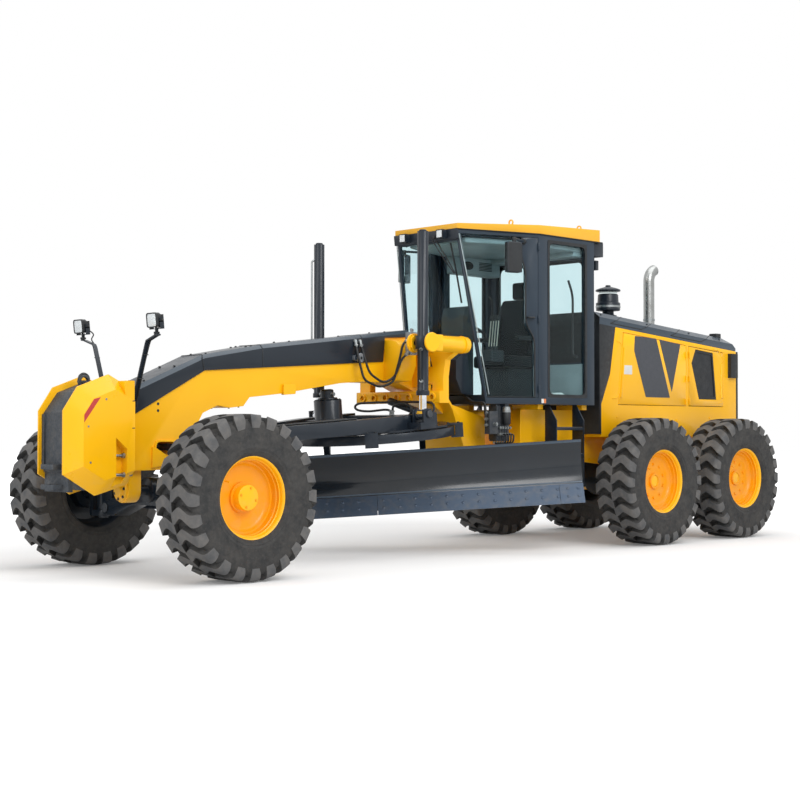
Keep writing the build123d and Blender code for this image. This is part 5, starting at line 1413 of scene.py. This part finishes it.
def build_sky(strength):
    """World that lights the machine, and is white to the camera, in reflections and through the glass."""
    world = bpy.data.worlds.new("Studio")
    bpy.context.scene.world = world
    world.use_nodes = True
    tree = world.node_tree
    light, path = tree.nodes["Background"], tree.nodes.new("ShaderNodeLightPath").outputs
    light.inputs["Color"].default_value = WHITE
    light.inputs["Strength"].default_value = strength
    seen = path["Is Camera Ray"]
    for ray in ("Is Glossy Ray", "Is Transmission Ray"):
        seen = wire(tree, "Math", "Value", {0: seen, 1: path[ray]}, operation="MAXIMUM")
    white = wire(tree, "Background", "Background", {"Color": WHITE})
    mixed = wire(tree, "MixShader", "Shader", {"Fac": seen, 1: light.outputs["Background"], 2: white})
    tree.links.new(mixed, tree.nodes["World Output"].inputs["Surface"])


def build_stage(s):
    """Floor, world, lamps and camera."""
    scene = bpy.context.scene
    scene.view_settings.view_transform = "Standard"
    mesh, reach = bpy.data.meshes.new("floor"), 60
    corners = [(*corner, -0.001) for corner in rectangle(-reach, reach, -reach, reach)]
    mesh.from_pydata(corners, [], [(0, 1, 2, 3)])
    mesh.materials.append(floor_look())
    floor = bpy.data.objects.new("floor", mesh)
    scene.collection.objects.link(floor)
    objects = [floor]
    for name, place, size in LAMPS:
        lamp = bpy.data.lights.new(name.title(), "AREA")
        lamp.size, lamp.energy = size, getattr(s, name)
        objects.append(stand(name.title(), lamp, place, Vector(TARGET) - Vector(place)))
        objects[-1].visible_transmission = False
    view = bpy.data.cameras.new("View")
    view.lens, view.sensor_width = s.lens, 36
    scene.camera = stand("View", view, (10.986, 10.453, 1.190), (-0.7059, -0.7083, 0.02))
    objects.append(scene.camera)
    build_sky(s.sky)


# ---------------------------------------------------------------- add-on

def length(name, description, default):
    """Property for a length."""
    return bpy.props.FloatProperty(
        name=name, description=description, default=default, min=0.0, unit="LENGTH"
    )


def power(name, description, default):
    """Property for a lamp's power."""
    return bpy.props.FloatProperty(name=name, description=description, default=default, min=0.0, unit="POWER")


def colour(name, description, code):
    """Property for a colour, from a six-digit sRGB code."""
    return bpy.props.FloatVectorProperty(
        name=name, description=description, default=linear(code)[:3], size=3, min=0.0, max=1.0,
        subtype="COLOR"
    )


class GraderColours(bpy.types.PropertyGroup):
    """Colours of the finishes."""

    yellow: colour("Yellow", "Colour of the yellow enamel", "FFBE0A")
    # The rim colour is a deeper orange that paints the shade in the rims' deep dishes.
    rim: colour("Rim dish shade", "Colour of the wheels' rims", "F5A200")
    roof: colour("Roof", "Colour of the cab's roof", "ECB030")
    charcoal: colour("Charcoal", "Colour of the dark enamel", "18212B")
    cab: colour("Cab frame", "Colour of the cab's frame", "22303D")
    slate: colour("Slate", "Colour of the covers' tops", "38444F")
    rubber: colour("Rubber", "Colour of the tyres' sides", "26282A")
    cloth: colour("Cloth", "Colour of the seat's cloth", "1A1D20")
    glass: colour("Glass", "Tint of the cab's glass", "E6F5F7")


class GraderTyre(bpy.types.PropertyGroup):
    """Sizes of the six tyres."""

    tyre_radius: length("Radius", "Radius over the lugs", 0.66)
    tyre_width: length("Width", "Width of the section", 0.445)
    lugs: bpy.props.IntProperty(name="Lugs", description="Lugs on each half of the tread", default=24,
                                min=8, max=60)


class GraderSizes(bpy.types.PropertyGroup):
    """Sizes of small pieces."""

    hose_radius: length("Hose radius", "Radius of the neck's and drawbar's hoses", 0.0112)
    # The pale edge of the corner panes is a painted highlight along the glass.
    pane_glint_radius: length("Pane edge glint radius", "Radius of the pale edge of the corner panes", 0.005)
    bolt_pitch: length("Bolt pitch", "Spacing of the cutting edges' bolts", 0.152)


class GraderStage(bpy.types.PropertyGroup):
    """Lamps, sky and camera."""

    key: power("Key", "Power of the key lamp", 900)
    fill: power("Fill", "Power of the fill lamp", 460)
    top: power("Top", "Power of the top lamp", 640)
    sky: bpy.props.FloatProperty(name="Sky", description="Strength of the sky's light", default=0.66,
                                 min=0.0, subtype="FACTOR")
    lens: bpy.props.FloatProperty(name="Lens", description="Focal length of the camera", default=68.04,
                                  min=1.0, unit="CAMERA")


class GRADER_OT_looks(bpy.types.Operator):
    """Makes every paint, metal, plastic, rubber, cloth and glass"""

    bl_idname = "grader.looks"
    bl_label = "Finishes"

    def execute(self, context):
        make_looks(context.scene.grader_colours)
        return {"FINISHED"}


class GRADER_OT_stage(bpy.types.Operator):
    """Adds the floor, world, lamps and camera"""

    bl_idname = "grader.stage"
    bl_label = "Stage"

    def execute(self, context):
        build_stage(context.scene.grader_stage)
        return {"FINISHED"}


class GRADER_OT_wheels(bpy.types.Operator):
    """Adds six lugged tyres on their rims"""

    bl_idname = "grader.wheels"
    bl_label = "Wheels"

    def execute(self, context):
        build_wheels(context.scene.grader_tyre)
        return {"FINISHED"}


class GRADER_OT_dressing(bpy.types.Operator):
    """Rounds, welds and paints the CAD pieces"""

    bl_idname = "grader.dressing"
    bl_label = "Painted frame"

    def execute(self, context):
        build_dressing()
        return {"FINISHED"}


class GRADER_OT_hood(bpy.types.Operator):
    """Adds the hood's films, screens, hinges, ribs, seams and tail lamps"""

    bl_idname = "grader.hood"
    bl_label = "Hood"

    def execute(self, context):
        build_hood()
        return {"FINISHED"}


class GRADER_OT_stacks(bpy.types.Operator):
    """Adds the precleaner and the exhaust"""

    bl_idname = "grader.stacks"
    bl_label = "Stacks"

    def execute(self, context):
        build_stacks()
        return {"FINISHED"}


class GRADER_OT_cab(bpy.types.Operator):
    """Adds seals, door fittings, mirrors, wipers and lamp glasses"""

    bl_idname = "grader.cab"
    bl_label = "Cab outside"

    def execute(self, context):
        build_cab(context.scene.grader_sizes)
        return {"FINISHED"}


class GRADER_OT_inside(bpy.types.Operator):
    """Adds the seat, console, wheel, levers, lining and mat"""

    bl_idname = "grader.inside"
    bl_label = "Cab inside"

    def execute(self, context):
        build_cab_inside()
        return {"FINISHED"}


class GRADER_OT_lamps(bpy.types.Operator):
    """Adds the front lamps on their stalks"""

    bl_idname = "grader.lamps"
    bl_label = "Front lamps"

    def execute(self, context):
        build_lamps()
        return {"FINISHED"}


class GRADER_OT_weight(bpy.types.Operator):
    """Adds the front weight's reflectors, fixings, lifting ring and flanges"""

    bl_idname = "grader.weight"
    bl_label = "Front weight"

    def execute(self, context):
        build_weight()
        return {"FINISHED"}


class GRADER_OT_neck(bpy.types.Operator):
    """Adds the neck cover's seams, plates and marks"""

    bl_idname = "grader.neck"
    bl_label = "Neck"

    def execute(self, context):
        build_neck()
        return {"FINISHED"}


class GRADER_OT_hoses(bpy.types.Operator):
    """Adds the neck's and the drawbar's hoses with their ends"""

    bl_idname = "grader.hoses"
    bl_label = "Hoses"

    def execute(self, context):
        build_hoses(context.scene.grader_sizes)
        return {"FINISHED"}


class GRADER_OT_saddle(bpy.types.Operator):
    """Adds the saddle's bosses, ports and clamp"""

    bl_idname = "grader.saddle"
    bl_label = "Saddle"

    def execute(self, context):
        build_saddle()
        return {"FINISHED"}


class GRADER_OT_cylinders(bpy.types.Operator):
    """Adds the lift cylinders' pipes, glands, caps and rod ends"""

    bl_idname = "grader.cylinders"
    bl_label = "Lift cylinders"

    def execute(self, context):
        build_cylinders()
        return {"FINISHED"}


class GRADER_OT_valves(bpy.types.Operator):
    """Adds the valve bank with its filter, fittings and hoses"""

    bl_idname = "grader.valves"
    bl_label = "Valves"

    def execute(self, context):
        build_valves()
        return {"FINISHED"}


class GRADER_OT_blade(bpy.types.Operator):
    """Adds the mouldboard's lip and weld, and the cutting edges' bolts"""

    bl_idname = "grader.blade"
    bl_label = "Blade"

    def execute(self, context):
        build_blade(context.scene.grader_sizes)
        return {"FINISHED"}


class GRADER_OT_circle(bpy.types.Operator):
    """Adds the circle drive's trim, and the drawbar's pipes and pins"""

    bl_idname = "grader.circle"
    bl_label = "Circle"

    def execute(self, context):
        build_circle()
        return {"FINISHED"}


class GRADER_OT_axle(bpy.types.Operator):
    """Adds the caps of the kingpins and lean pins"""

    bl_idname = "grader.axle"
    bl_label = "Front axle"

    def execute(self, context):
        build_axle()
        return {"FINISHED"}


class GRADER_OT_rear(bpy.types.Operator):
    """Adds the radiator screen, the box and the ladders' treads"""

    bl_idname = "grader.rear"
    bl_label = "Rear"

    def execute(self, context):
        build_rear()
        return {"FINISHED"}


GROUPS = {"grader_colours": GraderColours, "grader_tyre": GraderTyre, "grader_sizes": GraderSizes,
          "grader_stage": GraderStage}
STEPS = (
    GRADER_OT_looks,
    GRADER_OT_stage,
    GRADER_OT_wheels,
    GRADER_OT_dressing,
    GRADER_OT_hood,
    GRADER_OT_stacks,
    GRADER_OT_cab,
    GRADER_OT_inside,
    GRADER_OT_lamps,
    GRADER_OT_weight,
    GRADER_OT_neck,
    GRADER_OT_hoses,
    GRADER_OT_saddle,
    GRADER_OT_cylinders,
    GRADER_OT_valves,
    GRADER_OT_blade,
    GRADER_OT_circle,
    GRADER_OT_axle,
    GRADER_OT_rear,
)  # in the order that they run


class GRADER_PT_panel(bpy.types.Panel):
    """Sizes and colours, and a button for each step"""

    bl_label = "Motor grader"
    bl_idname = "GRADER_PT_panel"
    bl_space_type = "VIEW_3D"
    bl_region_type = "UI"
    bl_category = "Grader"

    def draw(self, context):
        for name, group in GROUPS.items():
            column = self.layout.column(heading=group.__doc__)
            for field in group.__annotations__:
                column.prop(getattr(context.scene, name), field)
        for step in STEPS:
            self.layout.operator(step.bl_idname)


def register():
    """Add the classes, and the property groups on the scene."""
    for item in (*GROUPS.values(), *STEPS, GRADER_PT_panel):
        bpy.utils.register_class(item)
    for name, group in GROUPS.items():
        setattr(bpy.types.Scene, name, bpy.props.PointerProperty(type=group))


def unregister():
    """Remove what register() added."""
    for name in GROUPS:
        delattr(bpy.types.Scene, name)
    for item in (GRADER_PT_panel, *reversed(STEPS), *reversed(GROUPS.values())):
        bpy.utils.unregister_class(item)


def main():
    """Run every step in order, then write the CAD model's box and the visual model's."""
    register()
    for step in STEPS:
        getattr(bpy.ops.grader, step.bl_idname.split(".")[1])()


if __name__ == "__main__":
    main()
